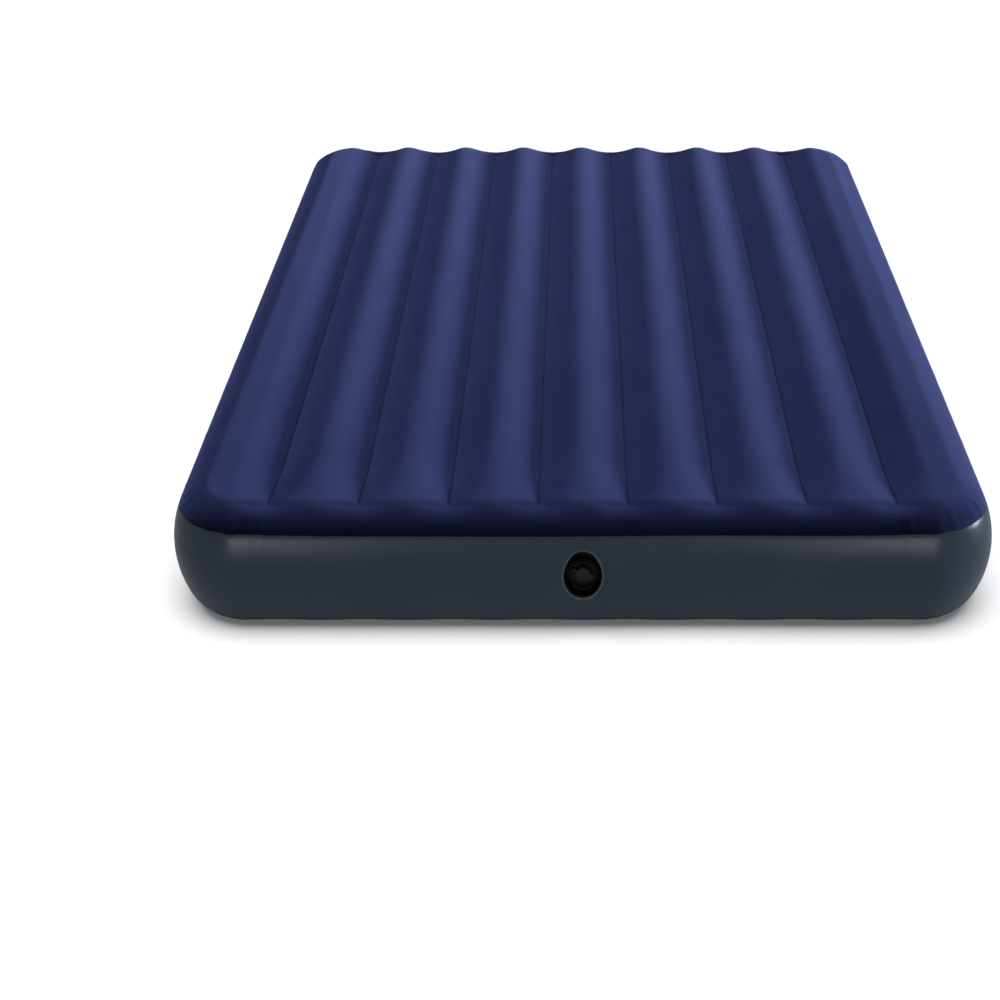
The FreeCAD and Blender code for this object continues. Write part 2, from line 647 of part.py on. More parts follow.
# Inflation cap: a hollow tapered plug under a dished head with a pull tab. Its strap is a
# ring round the plug's neck, and an arm that ends in the rounded fold it swings about.


def make_inflation_cap():
    body = new_body("inflation_cap")
    dish = "(Worked.knob_radius - Sizes.knob_rim)"
    corners = [
        ("Worked.plug_tip - Sizes.plug_wall", "Worked.plug_end"),
        ("Worked.plug_tip", "Worked.plug_end"),
        ("Worked.plug_top", "Worked.bore_mouth"),
        ("Worked.plug_top", "Worked.knob_base"),
        ("Worked.knob_radius", "Worked.knob_base"),
        ("Worked.knob_radius", "Worked.knob_top - Sizes.knob_bevel"),
        ("Worked.knob_radius - Sizes.knob_bevel", "Worked.knob_top"),
        (dish, "Worked.knob_top"),
        (f"{dish} - Sizes.knob_dish", "Worked.knob_top - Sizes.knob_dish"),
        ("0", "Worked.knob_top - Sizes.knob_dish"),
        ("0", "Worked.knob_base"),
        ("Worked.plug_tip - Sizes.plug_wall", "Worked.knob_base"),
    ]
    revolve(body, "Plug", outline(body, "Profile", "XZ_Plane", corners))
    half = "Sizes.tab_width / 2"
    inner = "0 - Worked.knob_radius + Sizes.knob_rim"
    tip = "Sizes.tab_tip_radius"
    outer = f"0 - Sizes.tab_reach + {tip} - sqrt({tip} ^ 2 - ({half}) ^ 2)"
    tab = [(inner, half), (outer, half, tip, 1), (outer, f"0 - {half}"), (inner, f"0 - {half}")]
    sketch = outline(body, "Tab", "XY_Plane", tab)
    below_top = "(Sizes.knob_bevel + Sizes.tab_thickness)"
    sketch.setExpression("AttachmentOffset.Base.z", f"Worked.knob_top - {below_top}")
    pad(body, "PullTab", sketch, "Sizes.tab_thickness")
    return on_valve_axis(body, turned="Sizes.hinge_direction")


inflation_cap = make_inflation_cap()


def make_cap_strap():
    body = ring(
        "cap_strap",
        "Worked.plug_top + Sizes.seat_gap",
        "Sizes.cap_ring / 2",
        "Worked.cap_ring_base",
        "Worked.cap_ring_top",
    )
    half = "Sizes.cap_strap_thickness / 2"
    shift = f"sqrt(Sizes.fold_radius ^ 2 - ({half}) ^ 2)"
    root = f"Sizes.hinge_reach - {shift}"
    low = f"Worked.fold_height - {half}"
    high = f"Worked.fold_height + {half}"
    far = "Sizes.hinge_reach + Sizes.fold_radius"
    arm = [
        ("Sizes.cap_ring / 2 - Sizes.cap_strap_thickness", low),
        (root, low, "Sizes.fold_radius", 1),
        (far, "Worked.fold_height", "Sizes.fold_radius", 1),
        (root, high),
        ("Sizes.cap_ring / 2 - Sizes.cap_strap_thickness", high),
    ]
    sketch = outline(body, "Arm", "XZ_Plane", arm)
    pad(body, "ArmPad", sketch, "Sizes.cap_strap_width", symmetric=True)
    return on_valve_axis(body, turned="Sizes.hinge_direction")


cap_strap = make_cap_strap()


# Check flap: a soft disc over the back of the bore, on a tongue that folds at its root.


def make_check_flap():
    body = new_body("check_flap")
    face = "Worked.flap_face"
    back = "Worked.flap_face - Sizes.flap_thickness"
    disc = [("0", back), ("Worked.flap_radius", back), ("Worked.flap_radius", face), ("0", face)]
    revolve(body, "Disc", outline(body, "Profile", "XZ_Plane", disc))
    half = "Sizes.flap_thickness / 2"
    inner = "Worked.bore_radius"
    tongue = [
        (inner, back),
        ("Sizes.flap_hinge", back, half, 1),
        (f"Sizes.flap_hinge + {half}", f"{face} - {half}", half, 1),
        ("Sizes.flap_hinge", face),
        (inner, face),
    ]
    sketch = outline(body, "Tongue", "XZ_Plane", tongue)
    pad(body, "TonguePad", sketch, "Sizes.flap_tongue", symmetric=True)
    return on_valve_axis(body, turned="Sizes.hinge_direction")


check_flap = make_check_flap()


# Every piece is recomputed, tested and written to its own file, named by its label.

doc.recompute()
pieces = [
    top_cover, side_wall, valve_panel, bottom_sheet, *air_beams, mouth_rim, valve_pocket,
    valve_base, valve_insert, insert_seal, insert_strap, inflation_cap, cap_strap, check_flap,
]
failed = [item.Label for item in doc.Objects if {"Invalid", "Error"} & set(item.State)]
if failed:
    raise RuntimeError(f"these objects failed: {failed}")
for piece in pieces:
    if piece.Shape.isNull() or not piece.Shape.isValid():
        raise RuntimeError(f"{piece.Label} has no valid shape")
    piece.Shape.exportStep(f"parts/{piece.Label}.step")
    print(piece.Label, len(piece.Shape.Solids), round(piece.Shape.Volume), piece.Shape.BoundBox)
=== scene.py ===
import math

import bmesh
import bpy
import numpy as np
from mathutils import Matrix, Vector


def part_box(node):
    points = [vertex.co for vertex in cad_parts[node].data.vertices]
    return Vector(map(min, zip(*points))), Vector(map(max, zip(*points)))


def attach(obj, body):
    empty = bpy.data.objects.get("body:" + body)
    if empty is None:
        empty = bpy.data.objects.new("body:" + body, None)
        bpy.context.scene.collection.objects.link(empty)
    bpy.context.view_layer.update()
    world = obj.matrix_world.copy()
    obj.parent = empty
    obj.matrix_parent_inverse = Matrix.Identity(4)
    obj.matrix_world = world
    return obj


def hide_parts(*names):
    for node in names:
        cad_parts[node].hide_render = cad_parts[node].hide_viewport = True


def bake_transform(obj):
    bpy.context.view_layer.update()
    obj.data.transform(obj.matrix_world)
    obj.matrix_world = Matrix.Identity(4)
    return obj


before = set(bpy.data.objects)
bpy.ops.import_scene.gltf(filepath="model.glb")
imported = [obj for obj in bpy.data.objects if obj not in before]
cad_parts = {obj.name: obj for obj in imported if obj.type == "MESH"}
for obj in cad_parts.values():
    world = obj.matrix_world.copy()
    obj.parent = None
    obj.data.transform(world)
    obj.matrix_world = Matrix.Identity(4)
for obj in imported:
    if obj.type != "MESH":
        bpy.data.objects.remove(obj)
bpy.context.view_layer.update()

# The looks of a flocked air bed: the velvety top cover with its nine tubes, the smooth vinyl
# side wall and bottom sheet, and the screw-in valve in its pocket. Metres, in the CAD frame:
# +Z up, the head at +Y and the foot wall with the valve at -Y.

MM = 0.001

# -------------------- sizes of the solids

wall_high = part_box("side_wall")[1]
cover_low, cover_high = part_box("top_cover")
flange_low, flange_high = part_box("valve_base")

HALF_WIDTH, HALF_LENGTH, BED_HEIGHT = wall_high.x, wall_high.y, cover_high.z
MID_HEIGHT = BED_HEIGHT / 2
SEAM_HEIGHT = cover_low.z
UNDER_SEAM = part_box("bottom_sheet")[1].z
SEAM_INSET = HALF_WIDTH - cover_high.x
CORNER_RADIUS = 143 * MM
SHEET = 0.8 * MM
BEAMS = sorted(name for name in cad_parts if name.startswith("air_beam"))
WELD_X = np.array(sorted((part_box(name)[0].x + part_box(name)[1].x) / 2 for name in BEAMS))
TUBE_PITCH = float(WELD_X[1] - WELD_X[0])
CROWN_X = np.append(WELD_X - TUBE_PITCH / 2, WELD_X[-1] + TUBE_PITCH / 2)
beam_low, beam_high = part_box(BEAMS[0])
TOP_VALLEY = BED_HEIGHT - beam_high.z - SHEET
UNDER_VALLEY = beam_low.z - SHEET

# The wall's arc and the shoulders' arcs meet in a common tangent at each seam.
SEAM_RISE = SEAM_HEIGHT - MID_HEIGHT
WALL_RADIUS = (SEAM_RISE**2 + SEAM_INSET**2) / (2 * SEAM_INSET)
SEAM_SINE = SEAM_RISE / WALL_RADIUS
SEAM_COSINE = 1 - SEAM_INSET / WALL_RADIUS
SHOULDER_RADIUS = (MID_HEIGHT - SEAM_RISE) / (1 - SEAM_SINE)
SHOULDER_INSET = SEAM_INSET + SHOULDER_RADIUS * SEAM_COSINE

VALVE_HEIGHT = (flange_low.z + flange_high.z) / 2
POCKET_SHEET = 1.2 * MM
POCKET_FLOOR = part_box("valve_pocket")[1].y - POCKET_SHEET
PANEL_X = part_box("valve_panel")[1].x
RIM_WIDTH = 12 * MM
MOUTH_HALF_WIDTH = 36 * MM
MOUTH_HALF_HEIGHT = 49 * MM
MOUTH_ROUNDNESS = 0.78
HINGE_DIRECTION = math.radians(160)

# -------------------- sizes of the soft forms

CORNER_STEPS = 24
FIELD_ROWS = 85
WELD_STEPS = 15
CREASE_END = 72 * MM  # where the crease of a weld ends, from the end wall
CREASE_SHADE_HALF = 2.4 * MM  # half width of the painted crease shade along a weld, partly pressed pile
FOOT_FADE = 14 * MM  # how much further in the top's valleys start at the foot
FOOT_SHALLOW = 0.72  # share of the depth that they lose there,
FOOT_NEAR, FOOT_FAR = 50 * MM, 240 * MM  # all of it up to the first, none past the second
VALLEY_LEAD, VALLEY_START, VALLEY_FULL = 7 * MM, 9 * MM, 50 * MM  # of a valley's fade
CREASE_FADE = (-10 * MM, 12 * MM)  # about the crease's end, where a hollow becomes a crease
CREASE_SHADE_FADE = (-3 * MM, 6 * MM)  # about the crease's end, where the painted crease shade and pressed pile begin
COVER_SHEET, BOTTOM_SHEET, CUP_SHEET = 0.6 * MM, 0.5 * MM, 1.0 * MM
COVER_FLAT, BOTTOM_FLAT = 2 * MM, 20 * MM  # half width of the flat along a crown
STEEPEST = 3  # limit of a shoulder's slope, where its arc turns upright
BEAM_SWAY = 2.2 * MM

SEAM_REACH = 45 * MM  # how far from a seam its waves and folds are felt
FOLD_START = 4 * MM  # a fold grows from nothing on the seam to its full size here
SEAM_LIFT, CORNER_LIFT = 4 * MM, 5 * MM  # over its drawn height, and more at a corner
SEAM_WANDER = 0.9 * MM
SEAM_FLUTTER, CORNER_FLUTTER = 0.15 * MM, 0.75 * MM
SIDE_FOLD, CORNER_FOLD = 0.25 * MM, 1.1 * MM
FOLD_POWER, FOLD_BASE = 1.3, 0.35
COVER_TUCK, WALL_TUCK = 0.9 * MM, 0.5 * MM
TUCK_REACH = 5 * MM
WALL_SWELL = 1.1 * MM
WALL_BACK = 0.6 * MM  # how far the wall stands inside its drawn arc
WALL_SIDE_SHARE, WALL_CORNER_SHARE = 0.04, 0.3  # of the folds' size, on the smooth wall
CORNER_START, CORNER_FULL = 0.36, 0.04  # metres from the widest outline

# Wavelengths in metres, each list with the seed of its phases.
WANDER_WAVES, WANDER_SEED = (1.9, 1.1, 0.61), 4
FLUTTER_WAVES, FLUTTER_SEED = (0.083, 0.057, 0.041), 9
FOLD_WAVES, FOLD_SEED = (0.047, 0.031, 0.0235), 21
SWELL_WAVES, SWELL_SEED = (1.3, 0.72, 0.44), 31
BEAM_WAVES, BEAM_SEED = (0.37, 0.21, 0.13), 60


# -------------------- mesh helpers

MERGE_DISTANCE = 0.002 * MM


def mesh_piece(name, points, faces, smooth=True):
    """An object at the origin from an array of points and a list of index arrays. A face
    whose neighbours coincide becomes a triangle, so poles are closed."""
    polygons = []
    for block in faces:
        for face in np.asarray(block).tolist():
            ring = [v for at, v in enumerate(face) if v != face[at - 1]]
            if len(ring) > 2:
                polygons.append(ring)
    mesh = bpy.data.meshes.new(name)
    mesh.from_pydata(points.tolist(), [], polygons)
    mesh.validate()
    mesh.polygons.foreach_set("use_smooth", [smooth] * len(mesh.polygons))
    mesh.update()
    piece = bpy.data.objects.new(name, mesh)
    bpy.context.scene.collection.objects.link(piece)
    return piece


def grid_faces(index):
    """Quads over a grid of vertex indices, index[along, across]."""
    corners = (index[:-1, :-1], index[1:, :-1], index[1:, 1:], index[:-1, 1:])
    return np.stack([corner.ravel() for corner in corners], axis=1)


def ring_faces(grid):
    """Quads over a grid of points whose rows are closed rings. Rings that run anticlockwise
    and shrink towards their centre face the viewer."""
    index = np.arange(grid.shape[0] * grid.shape[1]).reshape(grid.shape[:2])
    return grid_faces(np.column_stack([index, index[:, :1]]))[:, ::-1]


def changed(piece, change):
    """The same piece after a change to its mesh."""
    work = bmesh.new()
    work.from_mesh(piece.data)
    change(work)
    work.to_mesh(piece.data)
    work.free()
    return piece


def shell_piece(name, points, faces):
    """A piece whose unused points are left out and whose coinciding points are merged."""
    used = np.unique(np.concatenate([block.ravel() for block in faces]))
    place = np.zeros(len(points), dtype=int)
    place[used] = np.arange(len(used))
    piece = mesh_piece(name, points[used], [place[block] for block in faces])
    return changed(piece, lambda work: bmesh.ops.remove_doubles(
        work, verts=work.verts, dist=MERGE_DISTANCE,
    ))


def turned_outwards(piece):
    """The same piece, a closed shell, with normals that point outwards."""
    return changed(piece, lambda work: bmesh.ops.recalc_face_normals(work, faces=work.faces))


def closed_piece(name, grids):
    """One piece of closed shells. Each grid's rings close on themselves, and its first and last
    rows meet or shrink to lines or points. The normals are turned outwards at the end."""
    counts = np.cumsum([0] + [grid.shape[0] * grid.shape[1] for grid in grids])
    faces = [ring_faces(grid) + start for grid, start in zip(grids, counts)]
    points = np.vstack([grid.reshape(-1, 3) for grid in grids])
    return turned_outwards(shell_piece(name, points, faces))


def on_valve(across, up, out):
    """Points given about the valve axis, and by their height out of the pocket's floor."""
    return np.stack([across, POCKET_FLOOR - out, VALVE_HEIGHT + up], axis=-1)


def give_thickness(piece, thickness):
    """The sheet's own thickness, towards the inside."""
    shell = piece.modifiers.new("Sheet", "SOLIDIFY")
    shell.thickness = thickness
    shell.offset = -1
    return piece


def smooth_step(value, low, high):
    """0 below low, 1 above high, and an S-shaped cubic between them."""
    t = np.clip((value - low) / (high - low), 0, 1)
    return t * t * (3 - 2 * t)


def ripple(place, lengths, seed):
    """A smooth random wave along a line: a sum of sines with the given wavelengths, each
    with its own seeded phase, scaled to about -1 to 1."""
    phases = np.random.default_rng(seed).uniform(0, 2 * math.pi, len(lengths))
    waves = [
        np.sin(2 * math.pi * place / length + phase) for length, phase in zip(lengths, phases)
    ]
    return sum(waves) / math.sqrt(len(lengths))


# -------------------- the inflated form

def stations(across, along):
    """The bed's plan outline as stations that run anticlockwise from the +X side's start:
    points on the widest outline, outward normals and the distance along it. Straight sides
    have a station at each given coordinate, and each corner is a fan about its centre."""
    inner_x = HALF_WIDTH - CORNER_RADIUS
    inner_y = HALF_LENGTH - CORNER_RADIUS
    fan = np.linspace(0, math.pi / 2, CORNER_STEPS + 1)[1:-1]
    centres, normals = [], []
    sides = (
        (np.stack([np.full_like(along, inner_x), along], 1), 0.0),
        (np.stack([across[::-1], np.full_like(across, inner_y)], 1), math.pi / 2),
        (np.stack([np.full_like(along, -inner_x), along[::-1]], 1), math.pi),
        (np.stack([across, np.full_like(across, -inner_y)], 1), 3 * math.pi / 2),
    )
    for line, facing in sides:
        centres.append(line)
        normals.append(np.tile([math.cos(facing), math.sin(facing)], (len(line), 1)))
        centres.append(np.tile(line[-1], (len(fan), 1)))
        normals.append(np.stack([np.cos(facing + fan), np.sin(facing + fan)], 1))
    centres = np.vstack(centres)
    normals = np.vstack(normals)
    outline = centres + normals * CORNER_RADIUS
    steps = np.linalg.norm(np.diff(outline, axis=0, append=outline[:1]), axis=1)
    return outline, normals, np.concatenate([[0], np.cumsum(steps)[:-1]])


def near_corner(outline):
    """1 at the middle of a corner, falling to 0 along the straight sides."""
    reach = [
        smooth_step(np.abs(outline[:, axis]), half - CORNER_START, half - CORNER_FULL)
        for axis, half in enumerate((HALF_WIDTH, HALF_LENGTH))
    ]
    return reach[0] * reach[1]


def rim_height(inset):
    """Height of the upper shoulder at an inset from the widest outline: a quarter-like arc
    that leaves the seam in the wall's tangent and ends level at the crowns."""
    fall = np.clip(SHOULDER_INSET - inset, 0, SHOULDER_RADIUS)
    return BED_HEIGHT - SHOULDER_RADIUS + np.sqrt(SHOULDER_RADIUS**2 - fall**2)


def wall_inset(height):
    """Inset of the bulging wall at a height: an arc between the seams, and below the lower
    tangent point the shoulder's arc, which turns under the bed."""
    rise = height - MID_HEIGHT
    wall = WALL_RADIUS - np.sqrt(WALL_RADIUS**2 - np.clip(rise, -SEAM_RISE, SEAM_RISE) ** 2)
    drop = np.clip(SHOULDER_RADIUS - height, 0, SHOULDER_RADIUS)
    turned = SHOULDER_INSET - np.sqrt(SHOULDER_RADIUS**2 - drop**2)
    return np.where(rise < -SEAM_RISE, turned, wall)


def tube_fall(x, depth, flat):
    """How far a tube's surface lies below its crown line at x: a circular arc from the edge
    of the flat middle to the weld, where it is the given depth. Outside the outermost crown
    lines it is zero."""
    away = np.abs(x[..., None] - CROWN_X).min(axis=-1)
    away = np.where(np.abs(x) > CROWN_X[-1], 0, away)
    run = TUBE_PITCH / 2 - flat
    radius = (run**2 + depth**2) / (2 * depth)
    return radius - np.sqrt(radius**2 - np.clip(away - flat, 0, run) ** 2)


def seam_wave(distance, corner):
    """How far the seam stands over its drawn height: more at the corners, with a slow wander
    and, mostly round the corners, a quick one."""
    slow = SEAM_WANDER * ripple(distance, WANDER_WAVES, WANDER_SEED)
    quick = ripple(distance, FLUTTER_WAVES, FLUTTER_SEED)
    lift = SEAM_LIFT + CORNER_LIFT * corner
    return lift + slow + (SEAM_FLUTTER + CORNER_FLUTTER * corner) * quick


def gathers(distance, corner, from_seam, near_seam):
    """Small folds that run away from the seam: the upper half of a wave, raised to a power and
    lowered by a constant, weak along the sides and strong round the corners. They start from
    nothing on the seam and fade out with its reach."""
    wave = ripple(distance, FOLD_WAVES, FOLD_SEED)
    fold = (SIDE_FOLD + CORNER_FOLD * corner) * (np.maximum(wave, 0) ** FOLD_POWER - FOLD_BASE)
    return fold * near_seam * smooth_step(from_seam, 0, FOLD_START)


def skin_inset(height):
    """Inset of the skin at a height: the wall's arc up to the drawn seam, and the shoulder's
    arc over it."""
    rise = np.clip(height - (BED_HEIGHT - SHOULDER_RADIUS), 0, SHOULDER_RADIUS)
    shoulder = SHOULDER_INSET - np.sqrt(SHOULDER_RADIUS**2 - rise**2)
    return np.where(height > SEAM_HEIGHT, shoulder, wall_inset(np.minimum(height, SEAM_HEIGHT)))


def seam_profile(away):
    """How strongly a seam draws the sheet in at a distance along the sheet: 1 on the line of
    the weld, falling to 0."""
    return 1 - smooth_step(away, 0, TUCK_REACH)


# -------------------- quilted sheets, top and bottom

def tube_columns():
    """x of the columns over the flat field: close together at each weld and wider apart
    towards the crowns."""
    half = TUBE_PITCH / 2
    steps = half * np.linspace(0, 1, WELD_STEPS) ** 1.6
    columns = np.concatenate([WELD_X[:, None] - steps, WELD_X[:, None] + steps], axis=None)
    field = HALF_WIDTH - CORNER_RADIUS
    columns = columns[np.abs(columns) < field - 4 * MM]
    return np.unique(np.round(np.append(columns, [-field, field]), 6))


def field_rows():
    """y of the rows over the flat field, t being even steps from -1 to 1: a sum of t and
    sin(pi t / 2), which puts the rows closer together towards the ends."""
    step = np.linspace(-1, 1, FIELD_ROWS)
    return (0.5 * step + 0.5 * np.sin(np.pi * step / 2)) * (HALF_LENGTH - CORNER_RADIUS)


def weld_share(end_distance, fade_start):
    """How much of a valley's full depth it has at a distance from the end wall: nothing up to
    the start of its fade, a quick start there, and then a slow rise to all of it."""
    rising = smooth_step(end_distance, fade_start - VALLEY_LEAD, fade_start + VALLEY_FULL)
    return rising * smooth_step(end_distance, fade_start, fade_start + VALLEY_START)


def valley(x, end_distance, depth, flat, fade_start):
    """Depth of the quilting at a point: two circular arcs that meet in a crease where the beam
    is welded on, and a round cosine hollow past the beam's end."""
    away = np.abs(x[..., None] - WELD_X).min(axis=-1)
    away = np.where(np.abs(x) > CROWN_X[-1], TUBE_PITCH / 2, away)
    hollow = depth * np.cos(np.pi * np.clip(away / TUBE_PITCH, 0, 0.5)) ** 2
    creased = tube_fall(x, depth, flat)
    share = smooth_step(end_distance - CREASE_END, *CREASE_FADE)
    return (hollow + (creased - hollow) * share) * weld_share(end_distance, fade_start)


def quilted_sheet(name, height_at, insets, depth, flat, upward):
    """A sheet over the whole plan: a rectangular field, and rows round it that follow the plan
    outline at the given insets. height_at gives the rim's height at an inset; upward is 1 for
    the top cover and -1 for the bottom sheet, whose quilting rises from the floor."""
    columns = tube_columns()
    rows = field_rows()
    outline, normals, distance = stations(columns, rows)
    field = np.arange(len(columns) * len(rows)).reshape(len(columns), len(rows))
    sides = field[-1, :], field[::-1, -1], field[0, ::-1], field[:, 0]
    edge = [np.append(side, np.full(CORNER_STEPS - 1, side[-1])) for side in sides]
    rings = np.arange(len(insets) * len(outline)).reshape(len(insets), -1) + field.size
    rings = np.vstack([np.concatenate(edge), rings])
    plan = [np.stack(np.meshgrid(columns, rows, indexing="ij"), axis=-1).reshape(-1, 2)]
    plan = np.vstack(plan + [outline - normals * inset for inset in insets])
    inset_of = np.append(np.full(field.size, CORNER_RADIUS), np.repeat(insets, len(outline)))
    lean = np.vstack([np.zeros((field.size, 2)), np.tile(normals, (len(insets), 1))])
    place, at_corner = (
        np.append(np.zeros(field.size), np.tile(value, len(insets)))
        for value in (distance, near_corner(outline))
    )

    end_distance = HALF_LENGTH - np.abs(plan[:, 1])
    at_top_foot = (plan[:, 1] < 0) * (upward > 0)
    fade_start = insets[-1] + FOOT_FADE * at_top_foot
    quilting = valley(plan[:, 0], end_distance, depth, flat, fade_start)
    shallow = FOOT_SHALLOW * (1 - smooth_step(end_distance, FOOT_NEAR, FOOT_FAR))
    quilting = quilting * (1 - shallow * at_top_foot)
    height = height_at(inset_of) - upward * quilting
    from_seam = np.abs(inset_of - insets[-1])
    near_seam = 1 - smooth_step(from_seam, 0, SEAM_REACH)
    near_seam = np.where(inset_of < CORNER_RADIUS, near_seam, 0)
    fold = gathers(place, at_corner, from_seam, near_seam)
    tuck = -COVER_TUCK * seam_profile(from_seam) * (inset_of < CORNER_RADIUS)
    rise = np.clip((height_at(inset_of + MM) - height_at(inset_of)) / MM, -STEEPEST, STEEPEST)
    tilt = 1 / np.sqrt(1 + rise**2)
    sideways = np.abs(rise) * tilt * (fold + tuck)
    if upward > 0:
        drawn = height_at(inset_of)
        lift = seam_wave(place, at_corner) * near_seam
        slid = np.where(lift > 0, skin_inset(drawn + lift) - skin_inset(drawn), 0)
        height = height + tilt * fold + lift
        sideways = sideways - slid
    points = np.column_stack([plan + lean * sideways[:, None], height])
    faces = [grid_faces(field), grid_faces(np.column_stack([rings, rings[:, :1]]))]
    if upward > 0:
        faces = [block[:, ::-1] for block in faces]
    piece = mesh_piece(name, points, faces)
    # The weld attribute masks painted crease shade: the flock's colour darkens along each weld.
    away = np.abs(plan[:, :1] - WELD_X).min(axis=1)
    crease_shade_share = smooth_step(end_distance - CREASE_END, *CREASE_SHADE_FADE)
    give_attribute(piece, "weld", np.exp(-((away / CREASE_SHADE_HALF) ** 2)) * crease_shade_share)
    return piece


def give_attribute(piece, name, values):
    """A named number at each point of a mesh, for its material."""
    layer = piece.data.attributes.new(name, "FLOAT", "POINT")
    layer.data.foreach_set("value", np.asarray(values, dtype=np.float32))


def make_top_cover():
    """The flocked top cover, from the crowns down over the shoulder to the seam."""
    far = np.linspace(CORNER_RADIUS, SEAM_INSET, 44)[1:]
    ease = (CORNER_RADIUS - far) / (CORNER_RADIUS - SEAM_INSET)
    insets = CORNER_RADIUS - (CORNER_RADIUS - SEAM_INSET) * (1 - (1 - ease) ** 1.35)
    cover = quilted_sheet("flocked_cover", rim_height, insets, TOP_VALLEY, COVER_FLAT, 1)
    return give_thickness(cover, COVER_SHEET)


def under_height(inset):
    """Height of the lower shoulder at an inset: the upper one's mirror image."""
    return BED_HEIGHT - rim_height(inset)


def make_bottom_sheet():
    """The bottom sheet, from the lower seam to the flats that rest on the floor."""
    under_inset = float(wall_inset(np.array(UNDER_SEAM)))
    insets = np.linspace(CORNER_RADIUS, under_inset, 20)[1:]
    sheet = quilted_sheet("bottom_vinyl", under_height, insets, UNDER_VALLEY, BOTTOM_FLAT, -1)
    return give_thickness(sheet, BOTTOM_SHEET)


# -------------------- side wall

PATCH_X = 60 * MM
PATCH_LOW = VALVE_HEIGHT - 66 * MM
PATCH_HIGH = VALVE_HEIGHT + 64 * MM
PATCH_GAP = 3 * MM  # no other column stands nearer to the patch's and the panel's edges
LIP_RISE = 1.1 * MM
LIP_CREST, LIP_SPREAD = 1.6 * MM, 1.2 * MM  # from the mouth's edge, and how wide it swells
LIP_ROLL = 1.7 * MM
LIP_TAIL = 3.5 * MM  # how far the lip runs on into the pocket
LIP_HIGHLIGHT_CREST, LIP_HIGHLIGHT_SPREAD = 0.4 * MM, 1.8 * MM  # of the painted highlight along the lip's crest
DIMPLE_DEPTH = (2.6 * MM, 4.6 * MM)  # at the bottom, and what is added towards the top
DIMPLE_WIDTH = (5.5 * MM, 9.5 * MM)
DIMPLE_LEAN = 0.35  # radians from straight up to the deepest place, to the right
HAIR = 0.1 * MM  # margin when rows and columns are picked by their place


def wall_place(outline, normals, heights, out):
    """Points of the wall for stations and heights, pushed outwards by out."""
    inset = wall_inset(heights)
    plan = outline - normals * (inset - out)[..., None]
    return np.concatenate([plan, heights[..., None]], axis=-1)


def wall_heights():
    """Heights of the wall's rows from the upper seam down to the lower one, with whole rows
    at the top and the bottom of the valve's patch."""
    top = SEAM_HEIGHT - np.array([0, 0.6, 1.4, 2.6, 4.5, 7]) * MM
    middle = np.linspace(PATCH_HIGH, PATCH_LOW, 27)
    low = PATCH_LOW + (UNDER_SEAM - PATCH_LOW) * np.linspace(0, 1, 12)[1:]
    return np.concatenate([top, middle, low])


def make_side_wall():
    """The smooth band round the bed as three pieces: the wall, the panel in its foot side with
    the hollow round the mouth, and the mouth's lip."""
    columns = tube_columns()
    patch = np.linspace(-PATCH_X, PATCH_X, 25)
    columns = columns[np.abs(columns) > PATCH_X + PATCH_GAP]
    columns = columns[np.abs(np.abs(columns) - PANEL_X) > PATCH_GAP]
    columns = np.sort(np.concatenate([columns, patch, [-PANEL_X, PANEL_X]]))
    outline, normals, distance = stations(columns, field_rows()[::2])
    corner = near_corner(outline)
    heights = wall_heights()
    rows = np.repeat(heights[:, None], len(outline), axis=1)
    from_seam = SEAM_HEIGHT - rows
    near_seam = 1 - smooth_step(from_seam, 0, SEAM_REACH)
    fold = gathers(distance[None], corner[None], from_seam, near_seam)
    fold = (WALL_SIDE_SHARE + WALL_CORNER_SHARE * corner[None]) * fold
    tuck = -WALL_TUCK * seam_profile(from_seam)
    level = np.clip((rows - UNDER_SEAM) / (SEAM_HEIGHT - UNDER_SEAM), 0, 1)
    swell = WALL_SWELL * ripple(distance, SWELL_WAVES, SWELL_SEED)[None] * np.sin(np.pi * level)
    points = wall_place(outline[None], normals[None], rows, fold + tuck + swell - WALL_BACK)
    lift = seam_wave(distance, corner)[None] * near_seam
    points[..., 2] += lift
    points[..., :2] -= normals[None] * (skin_inset(rows + lift) - skin_inset(rows))[..., None]
    index = np.arange(rows.size).reshape(rows.shape)
    index = np.column_stack([index, index[:, :1]])
    centre = (outline[index[0, :-1]] + outline[index[0, 1:]]) / 2
    at_foot = centre[:, 1] < 0
    in_panel = np.tile((np.abs(centre[:, 0]) < PANEL_X) & at_foot, len(heights) - 1)
    middle = (heights[:-1] + heights[1:]) / 2
    level = (middle > PATCH_LOW) & (middle < PATCH_HIGH)
    in_patch = (level[:, None] & ((np.abs(centre[:, 0]) < PATCH_X) & at_foot)[None]).ravel()
    quads = grid_faces(index)
    wall = shell_piece("vinyl_wall", points.reshape(-1, 3), [quads[~in_panel]])
    patch, rim = mouth_grids(points, heights, outline)
    panel = shell_piece(
        "valve_panel_sheet",
        np.vstack([points.reshape(-1, 3), patch.reshape(-1, 3)]),
        [quads[in_panel & ~in_patch], ring_faces(patch) + rows.size],
    )
    lip = shell_piece("mouth_lip", rim.reshape(-1, 3), [ring_faces(rim)])
    place = np.zeros(len(lip.data.vertices) * 3)
    lip.data.vertices.foreach_get("co", place)
    across, up = place[0::3], place[2::3] - VALVE_HEIGHT
    reach = np.linalg.norm(oval_point(np.arctan2(up, across), 0), axis=1)
    away = np.hypot(across, up) - reach
    # The edge attribute masks a painted highlight: a lighter band along the lip's crest.
    give_attribute(lip, "edge", np.exp(-(((away - LIP_HIGHLIGHT_CREST) / LIP_HIGHLIGHT_SPREAD) ** 2)))
    return wall, panel, lip


